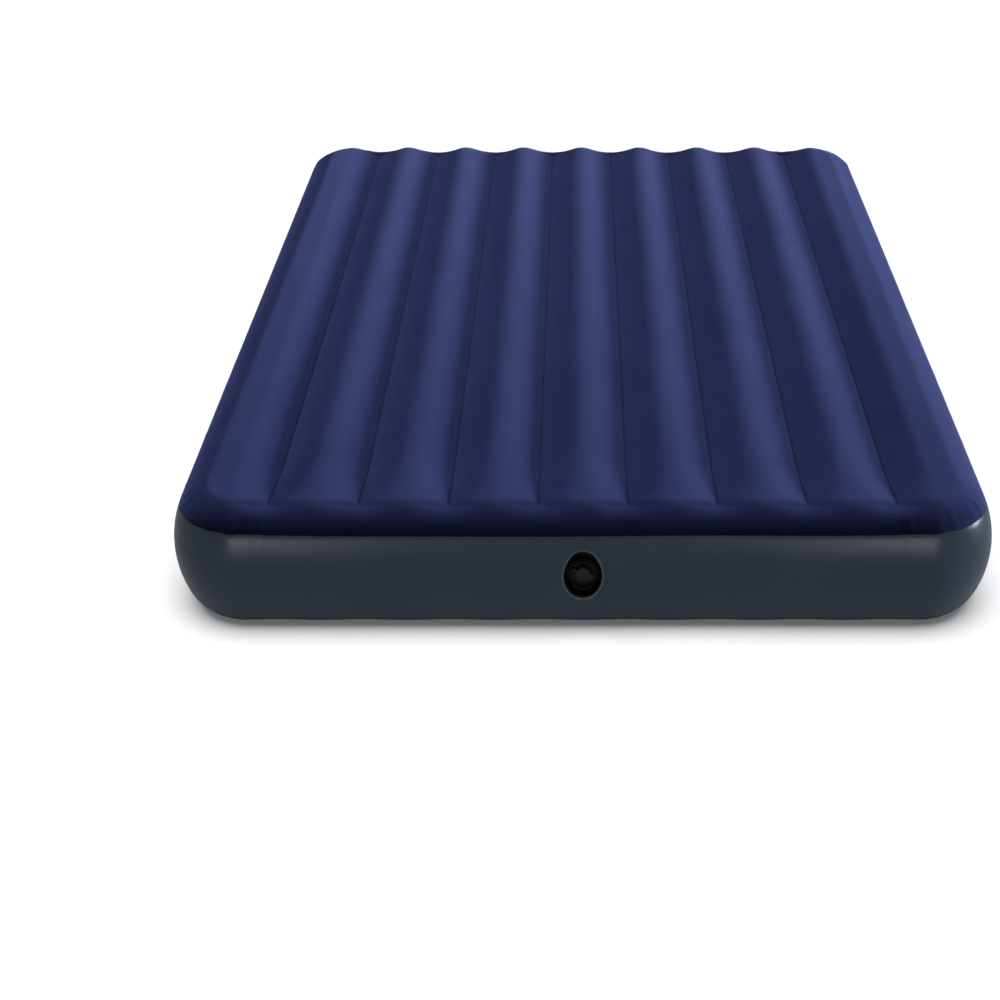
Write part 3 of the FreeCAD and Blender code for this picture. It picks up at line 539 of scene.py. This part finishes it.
def oval_point(turn, growth):
    """The mouth's outline at an angle round its centre (0 towards +X, a quarter turn up):
    four arcs that meet in common tangents, larger by the growth. Found along the ray by
    taking the nearer of the side arc and the end arc."""
    end = MOUTH_ROUNDNESS * MOUTH_HALF_WIDTH
    end_centre = MOUTH_HALF_HEIGHT - end
    side = (MOUTH_HALF_WIDTH**2 + end_centre**2 - end**2) / (2 * (MOUTH_HALF_WIDTH - end))
    side_centre = side - MOUTH_HALF_WIDTH
    ray_x, ray_z = np.abs(np.cos(turn)), np.abs(np.sin(turn))
    to_side = ray_x * -side_centre
    on_side = to_side + np.sqrt(to_side**2 - side_centre**2 + (side + growth) ** 2)
    to_end = ray_z * end_centre
    on_end = to_end + np.sqrt(np.maximum(to_end**2 - end_centre**2 + (end + growth) ** 2, 0))
    joint_x = side_centre * (end + growth) / (side - end)
    joint_z = end_centre * (1 + (end + growth) / (side - end))
    past_joint = ray_z * joint_x > ray_x * joint_z
    reach = np.where(past_joint, on_end, on_side)
    return np.stack([reach * np.cos(turn), reach * np.sin(turn)], axis=-1)


def dimple(turn, away):
    """How far the wall is drawn in near the mouth, at a distance from it: wide and deep at
    the top, leaning to the right, and slight at the bottom."""
    top = 0.5 + 0.5 * np.sin(turn + DIMPLE_LEAN)
    depth = DIMPLE_DEPTH[0] + DIMPLE_DEPTH[1] * top
    width = DIMPLE_WIDTH[0] + DIMPLE_WIDTH[1] * top
    t = np.clip(away / width, 0, 1)
    return depth * (1 - t) ** 2 * (1 + 2 * t)


def mouth_grids(points, heights, outline):
    """The wall round the valve as two grids: rows that run from the patch's rectangular edge
    in to the mouth's rim, and the rim, which dips towards the oval mouth, rises into a narrow
    lip and rolls over it into the pocket along a quarter circle."""
    rows = np.nonzero((heights < PATCH_HIGH + HAIR) & (heights > PATCH_LOW - HAIR))[0]
    across = np.nonzero((np.abs(outline[:, 0]) < PATCH_X + HAIR) & (outline[:, 1] < 0))[0]
    block = points[rows[0]:rows[-1] + 1, across[0]:across[-1] + 1]
    edge = np.concatenate([block[-1, :-1], block[:0:-1, -1], block[0, :0:-1], block[:-1, 0]])
    turn = np.arctan2(edge[:, 2] - VALVE_HEIGHT, edge[:, 0])
    oval = oval_point(turn, 0)
    reach = np.linalg.norm(oval, axis=1)
    edge_away = np.hypot(edge[:, 0], edge[:, 2] - VALVE_HEIGHT) - reach
    step = np.linspace(0, 1, 13)[:, None]
    far = edge_away[None] + (RIM_WIDTH - edge_away[None]) * step
    near = RIM_WIDTH * (1 - np.linspace(0, 1, 22)[:, None] ** 0.8) + 0 * reach[None]

    def surface(away):
        """Points at distances from the mouth's edge, along the rays through it."""
        place = oval[None] * (1 + away / reach[None])[..., None]
        height = VALVE_HEIGHT + place[..., 1]
        edge_gap = edge[:, 1] + (HALF_LENGTH - wall_inset(edge[:, 2]))
        lip = LIP_RISE * np.exp(-(((away - LIP_CREST) / LIP_SPREAD) ** 2))
        share = np.clip((away - RIM_WIDTH) / (edge_away - RIM_WIDTH)[None], 0, 1)
        depth = wall_inset(height) - HALF_LENGTH + edge_gap[None] * share
        depth = depth + dimple(turn[None], away) - lip
        return np.stack([place[..., 0], depth, height], axis=-1)

    patch = surface(far)
    front = surface(near)
    angle = np.linspace(0, math.pi / 2, 6)[1:, None]
    roll = LIP_ROLL * np.sin(angle)
    place = oval_point(turn[None] + 0 * roll, -roll)
    depth = front[-1:, :, 1] + LIP_ROLL * (1 - np.cos(angle))
    rolled = np.stack([place[..., 0], depth, VALVE_HEIGHT + place[..., 1]], axis=-1)
    inside = rolled[-1] + np.array([0, LIP_TAIL, 0])
    return patch, np.concatenate([front, rolled, inside[None]])


# The cup's rows, in millimetres: how far they stand outside the mouth's outline, and for the
# flange how far out of the wall's dimple (less than 0 is behind it). Between the flange and
# the floor's round corner the sides' rows have these shares of its height.
FLANGE_GROWTH = (7, 1, -1.2, -2.0, -2.3)
FLANGE_BEHIND = (-5.5, -4.6, -4.2, -5.0, -6.5)
SIDE_GROWTH = (-2.5, -3.0)
SIDE_SHARE = (0.6, 0.25)
BEND_GROWTH, BEND_SIZE = -3.2, 5
COLLAR_HOLE = 22.5 * MM


def make_pocket():
    """The soft black cup. Its rows are a narrow flange behind the mouth's lip, sides that taper
    inwards from there to the floor's round corner, a quarter ellipse, and a floor that blends
    from the oval to the collar's round hole."""
    turn = np.linspace(0, 2 * math.pi, 120, endpoint=False)
    mouth_height = VALVE_HEIGHT + oval_point(turn, 0)[:, 1]
    mouth_out = HALF_LENGTH + POCKET_FLOOR - wall_inset(mouth_height) - dimple(turn, 0)
    bend = np.linspace(0, math.pi / 2, 8)
    bend_growth = BEND_GROWTH - BEND_SIZE * (1 - np.cos(bend))
    growth = np.concatenate([FLANGE_GROWTH, SIDE_GROWTH, bend_growth]) * MM
    top = mouth_out[None] + np.array(FLANGE_BEHIND)[:, None] * MM
    share = np.array(SIDE_SHARE)[:, None]
    low = BEND_SIZE * MM * (1 - np.sin(bend))[:, None]
    out = np.concatenate([top, low[:1] + (top[-1:] - low[:1]) * share, low + 0 * mouth_out[None]])
    side = oval_point(turn[None] + 0 * out, growth[:, None])
    hole = COLLAR_HOLE * np.stack([np.cos(turn), np.sin(turn)], axis=-1)
    share = np.linspace(0, 1, 10)[1:, None, None]
    base = side[-1][None] * (1 - share) + hole[None] * share
    plan = np.concatenate([side, base])
    out = np.concatenate([out, np.zeros(base.shape[:2])])
    grid = on_valve(plan[..., 0], plan[..., 1], out)
    cup = shell_piece("pocket_cup", grid.reshape(-1, 3), [ring_faces(grid)])
    return give_thickness(cup, CUP_SHEET)


# -------------------- the valve's soft pieces

# In millimetres. Sections and paths are (reach from the axis, height out of the pocket's
# floor); a bead is where an end grows thicker: how much, its middle and its width.
CAP_HEAD = [
    (0, 17.4), (9.3, 17.4), (10.5, 18.6), (13.5, 18.6), (13.5, 14.1), (9.3, 14.1),
    (9.3, 12.1), (8.0, 5.1), (6.4, 5.1), (6.4, 14.1), (0, 14.1),
]
TAB_START, TAB_LENGTH, TAB_OUT = 11, 9.98, 16.7
TAB_HALF_WIDTH, TAB_TIP_RADIUS, TAB_TIP_CENTRE = 4.5, 5.5, 15.5
TAB_HALF_THICK, TAB_BEAD = 0.78, (0.42, 19.2, 0.9)
CAP_RING = [(9.6, 12.4), (12.5, 12.4), (12.5, 13.8), (9.6, 13.8)]
ARM_START, ARM_END, ARM_OUT = 11.6, 19.9, 13.1
ARM_HALF_WIDTH, ARM_HALF_THICK, ARM_BEAD = 4.0, 0.7, (0.58, 19, 0.9)
INSERT_RING = [(20.3, 6.8), (27, 6.8), (27, 7.8), (20.3, 7.8)]
INSERT_FOLD = [(24, 7.3), (30.5, 7.3), (30.5, 2.6), (28, 2.6)]
FOLD_REACH, FOLD_STEP = 2.0, 0.45
INSERT_HALF_WIDTH, INSERT_HALF_THICK = 5.5, 0.5
GASKET = [(20.3, 5.3), (21.9, 5.3), (22.15, 5.9), (21.9, 6.5), (20.3, 6.5)]
FLAP_DISC = [(0, -8.3), (10.2, -8.3), (10.2, -9.2), (6, -9.35), (0, -9.45)]
TONGUE_START, TONGUE_END, TONGUE_OUT = 8.6, 14.1, -8.8
TONGUE_HALF_WIDTH, TONGUE_HALF_THICK = 3.5, 0.46


def bead(reach, size, middle, width):
    """How much thicker a strap is near its end: a bell curve over its reach."""
    return size * np.exp(-(((reach - middle) / width) ** 2))


def rounded(corners, reach, closed=True):
    """A section with softened corners. Each corner c is replaced by the parabola
    (1-s)^2 a + 2s(1-s) c + s^2 b, whose ends a and b lie on its two sides, up to the reach
    away. A closed section ends with its first point."""
    corners = np.asarray(corners, dtype=float)
    share = np.linspace(0, 1, 5)[:, None]
    rows = []
    for corner, before, after in zip(corners, np.roll(corners, 1, 0), np.roll(corners, -1, 0)):
        sides = before - corner, after - corner
        lengths = [max(float(np.linalg.norm(side)), 1e-9) for side in sides]
        a, b = (corner + side * min(reach / size, 0.45) for side, size in zip(sides, lengths))
        rows.append((1 - share) ** 2 * a + 2 * share * (1 - share) * corner + share**2 * b)
    if not closed:
        rows[0], rows[-1] = corners[:1], corners[-1:]
        return np.concatenate(rows)
    return np.concatenate(rows + [rows[0][:1]])


def spread(path, step):
    """A path's points at even steps of its own length."""
    along = np.append(0, np.cumsum(np.linalg.norm(np.diff(path, axis=0), axis=1)))
    even = np.linspace(0, along[-1], int(along[-1] / step) + 2)
    return np.column_stack([np.interp(even, along, path[:, axis]) for axis in (0, 1)])


def turned(section, sides=96):
    """A section of (reach, out) points, in millimetres, carried round the valve axis."""
    turn = np.linspace(0, 2 * math.pi, sides, endpoint=False)[None]
    reach, out = section[:, :1] * MM, section[:, 1:] * MM
    return on_valve(reach * np.cos(turn), reach * np.sin(turn), out + 0 * turn)


def strap(path, half_width, half_thick, direction):
    """A flat strap along a path of (reach, out) points in the plane through the valve axis at
    this direction. Its section is the superellipse |across/half_width|^4 +
    |through/half_thick|^4 = 1, square to the path, and its ends close to points."""
    along = np.gradient(path, axis=0)
    along = along / np.linalg.norm(along, axis=1, keepdims=True)
    angle = np.linspace(0, 2 * math.pi, 28, endpoint=False)[None]
    cosine, sine = np.cos(angle), np.sin(angle)
    across = np.sign(cosine) * np.sqrt(np.abs(cosine)) * (0 * path[:, 0] + half_width)[:, None]
    through = np.sign(sine) * np.sqrt(np.abs(sine)) * (0 * path[:, 0] + half_thick)[:, None]
    reach = path[:, :1] - along[:, 1:] * through
    out = path[:, 1:] + along[:, :1] * through
    rings = np.stack([reach, out, across], axis=-1)
    ends = [np.broadcast_to([at[0], at[1], 0.0], rings[:1].shape) for at in (path[0], path[-1])]
    reach, out, across = np.moveaxis(np.concatenate([ends[0], rings, ends[1]]), -1, 0) * MM
    cosine, sine = math.cos(direction), math.sin(direction)
    return on_valve(reach * cosine - across * sine, reach * sine + across * cosine, out)


def make_cap():
    """The moulded cap: a head with a dished top and rounded rim over a hollow tapered plug,
    both turned about the axis, and a pull tab whose half width follows the circle of its
    rounded tip and whose edge is a little thicker there."""
    head = rounded(CAP_HEAD, 0.9, closed=False)
    reach = TAB_START + TAB_LENGTH * np.sin(np.linspace(0, math.pi / 2, 22))
    tip = np.sqrt(np.maximum(TAB_TIP_RADIUS**2 - (reach - TAB_TIP_CENTRE) ** 2, 0))
    half_width = np.minimum(TAB_HALF_WIDTH, tip)
    half_thick = TAB_HALF_THICK + bead(reach, *TAB_BEAD)
    path = np.column_stack([reach, TAB_OUT + 0 * reach])
    return closed_piece("soft_cap", [
        turned(head), strap(path, half_width, half_thick, HINGE_DIRECTION + math.pi),
    ])


def make_cap_strap():
    """The cap's strap: a ring round the plug's neck, and a straight flat arm that grows thicker
    at the rolled root it swings about."""
    ring = rounded(CAP_RING, 0.35)
    reach = np.linspace(ARM_START, ARM_END, 30)
    half_thick = ARM_HALF_THICK + bead(reach, *ARM_BEAD)
    path = np.column_stack([reach, ARM_OUT + 0 * reach])
    arm = strap(path, ARM_HALF_WIDTH, half_thick, HINGE_DIRECTION)
    return closed_piece("cap_tie", [turned(ring), arm])


def make_insert_strap():
    """The insert's strap: a ring under the insert's face, and a tongue that runs out below it,
    bends down in a soft fold and ends in a foot on the base's flange."""
    ring = rounded(INSERT_RING, 0.3)
    path = spread(rounded(INSERT_FOLD, FOLD_REACH, closed=False), FOLD_STEP)
    tongue = strap(path, INSERT_HALF_WIDTH, INSERT_HALF_THICK, -math.pi / 2)
    return closed_piece("insert_tie", [turned(ring), tongue])


def make_seal():
    """The gasket: a ring whose outer edge bulges where it is pressed."""
    return closed_piece("gasket", [turned(rounded(GASKET, 0.4))])


def make_flap():
    """The check flap: a thin disc over the back of the bore, slightly thicker in the middle,
    and a tongue to its root."""
    disc = rounded(FLAP_DISC, 0.35, closed=False)
    reach = np.linspace(TONGUE_START, TONGUE_END, 14)
    path = np.column_stack([reach, TONGUE_OUT + 0 * reach])
    tongue = strap(path, TONGUE_HALF_WIDTH, TONGUE_HALF_THICK, HINGE_DIRECTION)
    return closed_piece("soft_flap", [turned(disc), tongue])


def make_beam(name):
    """An inner beam: a strip of I section, whose web waves from side to side by a smooth
    ripple times the sine of its height's share, so that its welded edges stay straight."""
    low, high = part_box(name)
    middle, flange = (low.x + high.x) / 2, (high.x - low.x) / 2
    up = np.linspace(low.z + SHEET, high.z - SHEET, 14)
    side = [[flange, low.z], [flange, low.z + SHEET]]
    side += [[SHEET / 2, height] for height in up]
    side += [[flange, high.z - SHEET], [flange, high.z]]
    side = np.array(side)
    section = np.concatenate([side, side[::-1] * [-1, 1]])
    along = np.linspace(low.y, high.y, 120)
    share = np.clip((section[:, 1] - low.z - SHEET) / (high.z - low.z - 2 * SHEET), 0, 1)
    wave = BEAM_SWAY * ripple(along, BEAM_WAVES, BEAM_SEED + int(name[-1]))
    across = middle + section[None, :, 0] + wave[:, None] * np.sin(np.pi * share)[None]
    rows = np.stack([
        across, along[:, None] + 0 * across, section[None, :, 1] + 0 * across,
    ], axis=-1)
    index = np.arange(across.size).reshape(across.shape)
    faces = [grid_faces(np.column_stack([index, index[:, :1]]))]
    half = len(side)
    for row in (index[0], index[-1]):
        faces.append(grid_faces(np.stack([row[:half], row[:half - 1:-1]], axis=1)))
    piece = shell_piece(name.replace("air_beam", "beam_web"), rows.reshape(-1, 3), faces)
    turned_outwards(piece)
    piece.data.polygons.foreach_set("use_smooth", [False] * len(piece.data.polygons))
    return piece


# -------------------- materials

def new_material(name, colour, roughness):
    """A node material whose Principled shader has plain values on its own sockets."""
    material = bpy.data.materials.new(name)
    material.use_nodes = True
    shader = material.node_tree.nodes["Principled BSDF"]
    shader.inputs["Base Color"].default_value = (*colour, 1)
    shader.inputs["Roughness"].default_value = roughness
    return material, material.node_tree, shader


def add(tree, kind, **values):
    """A node, with its properties and its inputs set by name."""
    node = tree.nodes.new(kind)
    for name, value in values.items():
        if hasattr(node, name):
            setattr(node, name, value)
        else:
            node.inputs[name.replace("_", " ")].default_value = value
    return node


def object_noise(tree, scale, detail=2.0, roughness=0.5, stretch=(1, 1, 1)):
    """Noise on Object coordinates: scale counts features in a metre."""
    place = add(tree, "ShaderNodeTexCoord")
    mapping = add(tree, "ShaderNodeMapping")
    mapping.inputs["Scale"].default_value = stretch
    noise = add(tree, "ShaderNodeTexNoise")
    noise.inputs["Scale"].default_value = scale
    noise.inputs["Detail"].default_value = detail
    noise.inputs["Roughness"].default_value = roughness
    tree.links.new(place.outputs["Object"], mapping.inputs["Vector"])
    tree.links.new(mapping.outputs["Vector"], noise.inputs["Vector"])
    return noise.outputs["Fac"]


def mix_colours(tree, share, first, second):
    """A colour between two, which are colours or sockets."""
    mix = add(tree, "ShaderNodeMix", data_type="RGBA")
    sockets = [item for item in mix.inputs if item.type == "RGBA"]
    for socket, value in zip(sockets, (first, second)):
        if isinstance(value, bpy.types.NodeSocket):
            tree.links.new(value, socket)
        else:
            socket.default_value = (*value, 1)
    tree.links.new(share, mix.inputs["Factor"])
    return next(item for item in mix.outputs if item.type == "RGBA")


def ranged(tree, value, low, high, new_low, new_high):
    """A value moved from one range to another, and clamped to it."""
    node = add(tree, "ShaderNodeMapRange")
    ends = {"From Min": low, "From Max": high, "To Min": new_low, "To Max": new_high}
    for name, amount in ends.items():
        node.inputs[name].default_value = amount
    tree.links.new(value, node.inputs["Value"])
    return node.outputs["Result"]


def bump(tree, shader, height, distance, strength=1.0):
    """Feeds a height to the shader's normal, after any bump that is already there."""
    node = add(tree, "ShaderNodeBump")
    node.inputs["Strength"].default_value = strength
    node.inputs["Distance"].default_value = distance
    socket = shader.inputs["Normal"]
    if socket.is_linked:
        tree.links.new(socket.links[0].from_socket, node.inputs["Normal"])
    tree.links.new(height, node.inputs["Height"])
    tree.links.new(node.outputs["Normal"], socket)


def attribute(tree, name):
    """A number that the mesh carries at its points, or 0 where it has none by this name."""
    return add(tree, "ShaderNodeAttribute", attribute_name=name).outputs["Fac"]


def flocked_navy():
    """Velvety flock: a dark ground under short pile, whose sheen lights up where it is seen
    from the side, with faint patches where the pile lies another way, and painted shade
    that darkens the weld creases, partly pressed pile."""
    material, tree, shader = new_material("flocked_navy", (0.022, 0.027, 0.09), 0.95)
    shader.inputs["Specular IOR Level"].default_value = 0.0
    shader.inputs["Sheen Weight"].default_value = 0.9
    shader.inputs["Sheen Roughness"].default_value = 0.42
    shader.inputs["Sheen Tint"].default_value = (0.22, 0.28, 0.72, 1)
    patches = ranged(tree, object_noise(tree, 9, 3, 0.6, (1, 0.45, 1)), 0.35, 0.65, 0, 1)
    lay = mix_colours(tree, patches, (0.021, 0.025, 0.086), (0.027, 0.033, 0.108))
    fuzz = object_noise(tree, 900, 3, 0.7)
    speckle = mix_colours(tree, ranged(tree, fuzz, 0.3, 0.7, 0, 0.45), lay, (0.012, 0.015, 0.05))
    # Painted shade in the weld creases, partly pressed pile: the colour goes nearly black along
    # each weld.
    pressed = mix_colours(tree, attribute(tree, "weld"), speckle, (0.004, 0.005, 0.014))
    tree.links.new(pressed, shader.inputs["Base Color"])
    bump(tree, shader, fuzz, 0.0006, 0.6)
    return material


def slate_vinyl():
    """Smooth vinyl sheet: a soft gloss, a very fine grain and slight unevenness, and a painted
    highlight, a lighter line, along the mouth's lip."""
    material, tree, shader = new_material("slate_vinyl", (0.030, 0.048, 0.072), 0.3)
    shader.inputs["Specular IOR Level"].default_value = 0.0
    shader.inputs["Coat Weight"].default_value = 0.3
    shader.inputs["Coat Roughness"].default_value = 0.3
    cloud = ranged(tree, object_noise(tree, 5, 3, 0.55), 0.35, 0.65, 0, 1)
    tone_and_lip_highlight = mix_colours(tree, cloud, (0.018, 0.031, 0.049), (0.022, 0.037, 0.057))
    # Painted highlight: the edge attribute lightens the colour along the lip's crest.
    tone_and_lip_highlight = mix_colours(tree, attribute(tree, "edge"), tone_and_lip_highlight, (0.085, 0.095, 0.115))
    tree.links.new(tone_and_lip_highlight, shader.inputs["Base Color"])
    uneven = ranged(tree, object_noise(tree, 60, 4, 0.6), 0.3, 0.7, 0.4, 0.6)
    tree.links.new(uneven, shader.inputs["Roughness"])
    bump(tree, shader, object_noise(tree, 1400, 2, 0.6), 0.0001, 0.5)
    bump(tree, shader, object_noise(tree, 14, 2, 0.5), 0.0015, 0.35)
    return material


def plain_vinyl(name, colour, roughness, shine=0.25):
    """Moulded or plain sheet: one colour with a fine grain and uneven gloss."""
    material, tree, shader = new_material(name, colour, roughness)
    shader.inputs["Specular IOR Level"].default_value = shine
    darker = tuple(0.8 * part for part in colour)
    cloud = ranged(tree, object_noise(tree, 40, 3, 0.6), 0.3, 0.7, 0, 1)
    tree.links.new(mix_colours(tree, cloud, darker, colour), shader.inputs["Base Color"])
    uneven = object_noise(tree, 120, 3, 0.6)
    uneven = ranged(tree, uneven, 0.3, 0.7, roughness - 0.06, roughness + 0.08)
    tree.links.new(uneven, shader.inputs["Roughness"])
    bump(tree, shader, object_noise(tree, 900, 2, 0.6), 0.0001, 0.5)
    return material


def seen_directly(tree):
    """1 for what the eye sees straight on, in a reflection or through glass, and 0 for light
    thrown back at the bed."""
    path = add(tree, "ShaderNodeLightPath")
    seen = path.outputs["Is Camera Ray"]
    for also in ("Is Glossy Ray", "Is Transmission Ray"):
        either = add(tree, "ShaderNodeMath", operation="MAXIMUM")
        tree.links.new(seen, either.inputs[0])
        tree.links.new(path.outputs[also], either.inputs[1])
        seen = either.outputs[0]
    return seen


def white_floor():
    """The studio floor: white to the eye and in reflections, with a little light of its own,
    and greyer where it only throws light back at the bed."""
    white, bounce = (FLOOR_WHITE,) * 3, (FLOOR_BOUNCE,) * 3
    material, tree, shader = new_material("studio_floor", white, 0.9)
    shader.inputs["Specular IOR Level"].default_value = 0
    seen = seen_directly(tree)
    tree.links.new(mix_colours(tree, seen, bounce, white), shader.inputs["Base Color"])
    glow = add(tree, "ShaderNodeMath", operation="MULTIPLY")
    glow.inputs[1].default_value = FLOOR_GLOW
    tree.links.new(seen, glow.inputs[0])
    shader.inputs["Emission Color"].default_value = (1, 1, 1, 1)
    tree.links.new(glow.outputs[0], shader.inputs["Emission Strength"])
    return material


def dress(piece, material):
    """Gives every slot of an object this material."""
    if not piece.material_slots:
        piece.data.materials.append(material)
    for slot in piece.material_slots:
        slot.material = material


# -------------------- camera, light and floor

EYE, EYE_TILT = (-0.0076, -3.398, 1.757), 58.5
LENS, SHIFT = 57.85, -0.0787
FLOOR_HALF = 15
FLOOR_WHITE = 0.9
FLOOR_GLOW = 0.11
FLOOR_BOUNCE = 0.15
FLOOR_LIGHT, FLOOR_LIGHT_WAY = 3.2, (0, 0.16, -1.0)
KEY, KEY_WAY = 3.6, (-1.0, -0.10, -0.11)
BACK, BACK_WAY = 2.2, (0.06, -0.60, -0.80)
KEY_SPREAD, BROAD_SPREAD = 16, 50
SOFT_BOX, SOFT_BOX_SIZE = 42, (0.9, 1.0)
RIGHT_BOX, RIGHT_TARGET = (1.7, -5.2, 0.55), (0.6, -1.0, 0.18)
LEFT_BOX, LEFT_TARGET = (-1.8, -5.2, 0.55), (-0.6, -1.0, 0.18)
SKY = 0.06


def make_camera():
    """The main view: down at the bed from the foot, square to the valve's wall."""
    data = bpy.data.cameras.new("view_camera")
    camera = bpy.data.objects.new("view_camera", data)
    bpy.context.scene.collection.objects.link(camera)
    camera.location = EYE
    camera.rotation_euler = (math.radians(EYE_TILT), 0, 0)
    data.lens = LENS
    data.sensor_width = 36
    data.shift_x = SHIFT
    bpy.context.scene.camera = camera


def new_lamp(name, kind, strength, way):
    """A lamp that shines in a direction."""
    data = bpy.data.lights.new(name, kind)
    data.energy = strength
    lamp = bpy.data.objects.new(name, data)
    bpy.context.scene.collection.objects.link(lamp)
    lamp.rotation_euler = Vector(way).to_track_quat("-Z", "Y").to_euler()
    return lamp


def sun_lamp(name, way, strength, spread, colour=(1, 1, 1)):
    """A distant lamp, whose spread in degrees sets how soft it is."""
    lamp = new_lamp(name, "SUN", strength, way)
    lamp.data.angle = math.radians(spread)
    lamp.data.color = colour
    return lamp


def box_lamp(name, place, target):
    """A soft box that faces a point: mostly seen as a highlight in the smooth vinyl."""
    lamp = new_lamp(name, "AREA", SOFT_BOX, Vector(target) - Vector(place))
    lamp.data.shape = "RECTANGLE"
    lamp.data.size, lamp.data.size_y = SOFT_BOX_SIZE
    lamp.location = place
    return lamp


def light_link(lamp, pieces, state):
    """The lamp lights these pieces alone (INCLUDE), or everything but them (EXCLUDE)."""
    group = bpy.data.collections.new(lamp.name + "_link")
    for piece in pieces:
        group.objects.link(piece)
    lamp.light_linking.receiver_collection = group
    for member in group.collection_objects:
        member.light_linking.link_state = state


def make_lights(floor, walls):
    """On the bed: a low key from the right and a broad light from high up behind the head. On
    the smooth vinyl alone: two boxes in front, for the highlights under the seam. On the
    floor alone: one broad light from above, which lets the bed shade only the floor close
    to it. A dim sky lights everything, and looks white."""
    key = sun_lamp("key_light", KEY_WAY, KEY, KEY_SPREAD, (0.93, 1.0, 1.0))
    back = sun_lamp("back_light", BACK_WAY, BACK, BROAD_SPREAD, (1.0, 0.98, 1.0))
    light_link(key, [floor], "EXCLUDE")
    light_link(back, [floor], "EXCLUDE")
    light_link(box_lamp("right_strip", RIGHT_BOX, RIGHT_TARGET), walls, "INCLUDE")
    light_link(box_lamp("left_strip", LEFT_BOX, LEFT_TARGET), walls, "INCLUDE")
    above = sun_lamp("floor_light", FLOOR_LIGHT_WAY, FLOOR_LIGHT, BROAD_SPREAD)
    light_link(above, [floor], "INCLUDE")
    world = bpy.data.worlds.new("studio_sky")
    world.use_nodes = True
    tree = world.node_tree
    sky = tree.nodes["Background"]
    sky.inputs["Color"].default_value = (1, 1, 1, 1)
    strength = ranged(tree, seen_directly(tree), 0, 1, SKY, 1)
    tree.links.new(strength, sky.inputs["Strength"])
    bpy.context.scene.world = world


def make_floor():
    """A large white square under the bed, for the view alone."""
    points = FLOOR_HALF * np.array([[-1.0, -1, 0], [1, -1, 0], [1, 1, 0], [-1, 1, 0]])
    floor = mesh_piece("studio_floor", points, [np.array([[0, 1, 2, 3]])], smooth=False)
    dress(floor, white_floor())
    return floor


# -------------------- the bed

def take_over(piece, node, material, slot, body):
    """The piece stands for this node, which is hidden, in this material and on this body. The
    slot is not used.
    """
    dress(piece, material)
    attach(piece, body)
    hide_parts(node)


make_camera()
studio_floor = make_floor()
bpy.context.scene.view_settings.view_transform = "Standard"

flock = flocked_navy()
slate = slate_vinyl()
black = plain_vinyl("black_vinyl", (0.0018, 0.0018, 0.0022), 0.5, shine=0.08)
beams = plain_vinyl("beam_vinyl", (0.25, 0.27, 0.3), 0.45)
valve = plain_vinyl("valve_plastic", (0.0016, 0.0016, 0.002), 0.45, shine=0.08)
cap = plain_vinyl("cap_vinyl", (0.009, 0.013, 0.021), 0.42, shine=0.15)
rubber = plain_vinyl("seal_rubber", (0.012, 0.012, 0.013), 0.6)

cover = make_top_cover()
bottom = make_bottom_sheet()
wall, panel, lip = make_side_wall()
pocket = make_pocket()

for row in (
    (make_cap(), "inflation_cap", cap, "cap_vinyl", "cap"),
    (make_cap_strap(), "cap_strap", cap, "cap_vinyl", "cap"),
    (make_seal(), "insert_seal", rubber, "seal_rubber", "insert"),
    (make_flap(), "check_flap", rubber, "seal_rubber", "flap"),
    *((make_beam(name), name, beams, "beam_vinyl", "air_chamber") for name in BEAMS),
):
    take_over(*row)

insert_tie = make_insert_strap()
dress(insert_tie, black)
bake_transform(insert_tie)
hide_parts("insert_strap")

for piece, node, material, slot in (
    (cover, "top_cover", flock, "flocked_navy"),
    (bottom, "bottom_sheet", slate, "slate_vinyl"),
    (wall, "side_wall", slate, "slate_vinyl"),
    (panel, "valve_panel", slate, "slate_vinyl"),
    (lip, "mouth_rim", slate, "slate_vinyl"),
    (pocket, "valve_pocket", black, "black_vinyl"),
):
    take_over(piece, node, material, slot, "air_chamber")

make_lights(studio_floor, [wall, panel, lip, bottom])

dress(bpy.data.objects["valve_base"], black)
dress(bpy.data.objects["valve_insert"], valve)
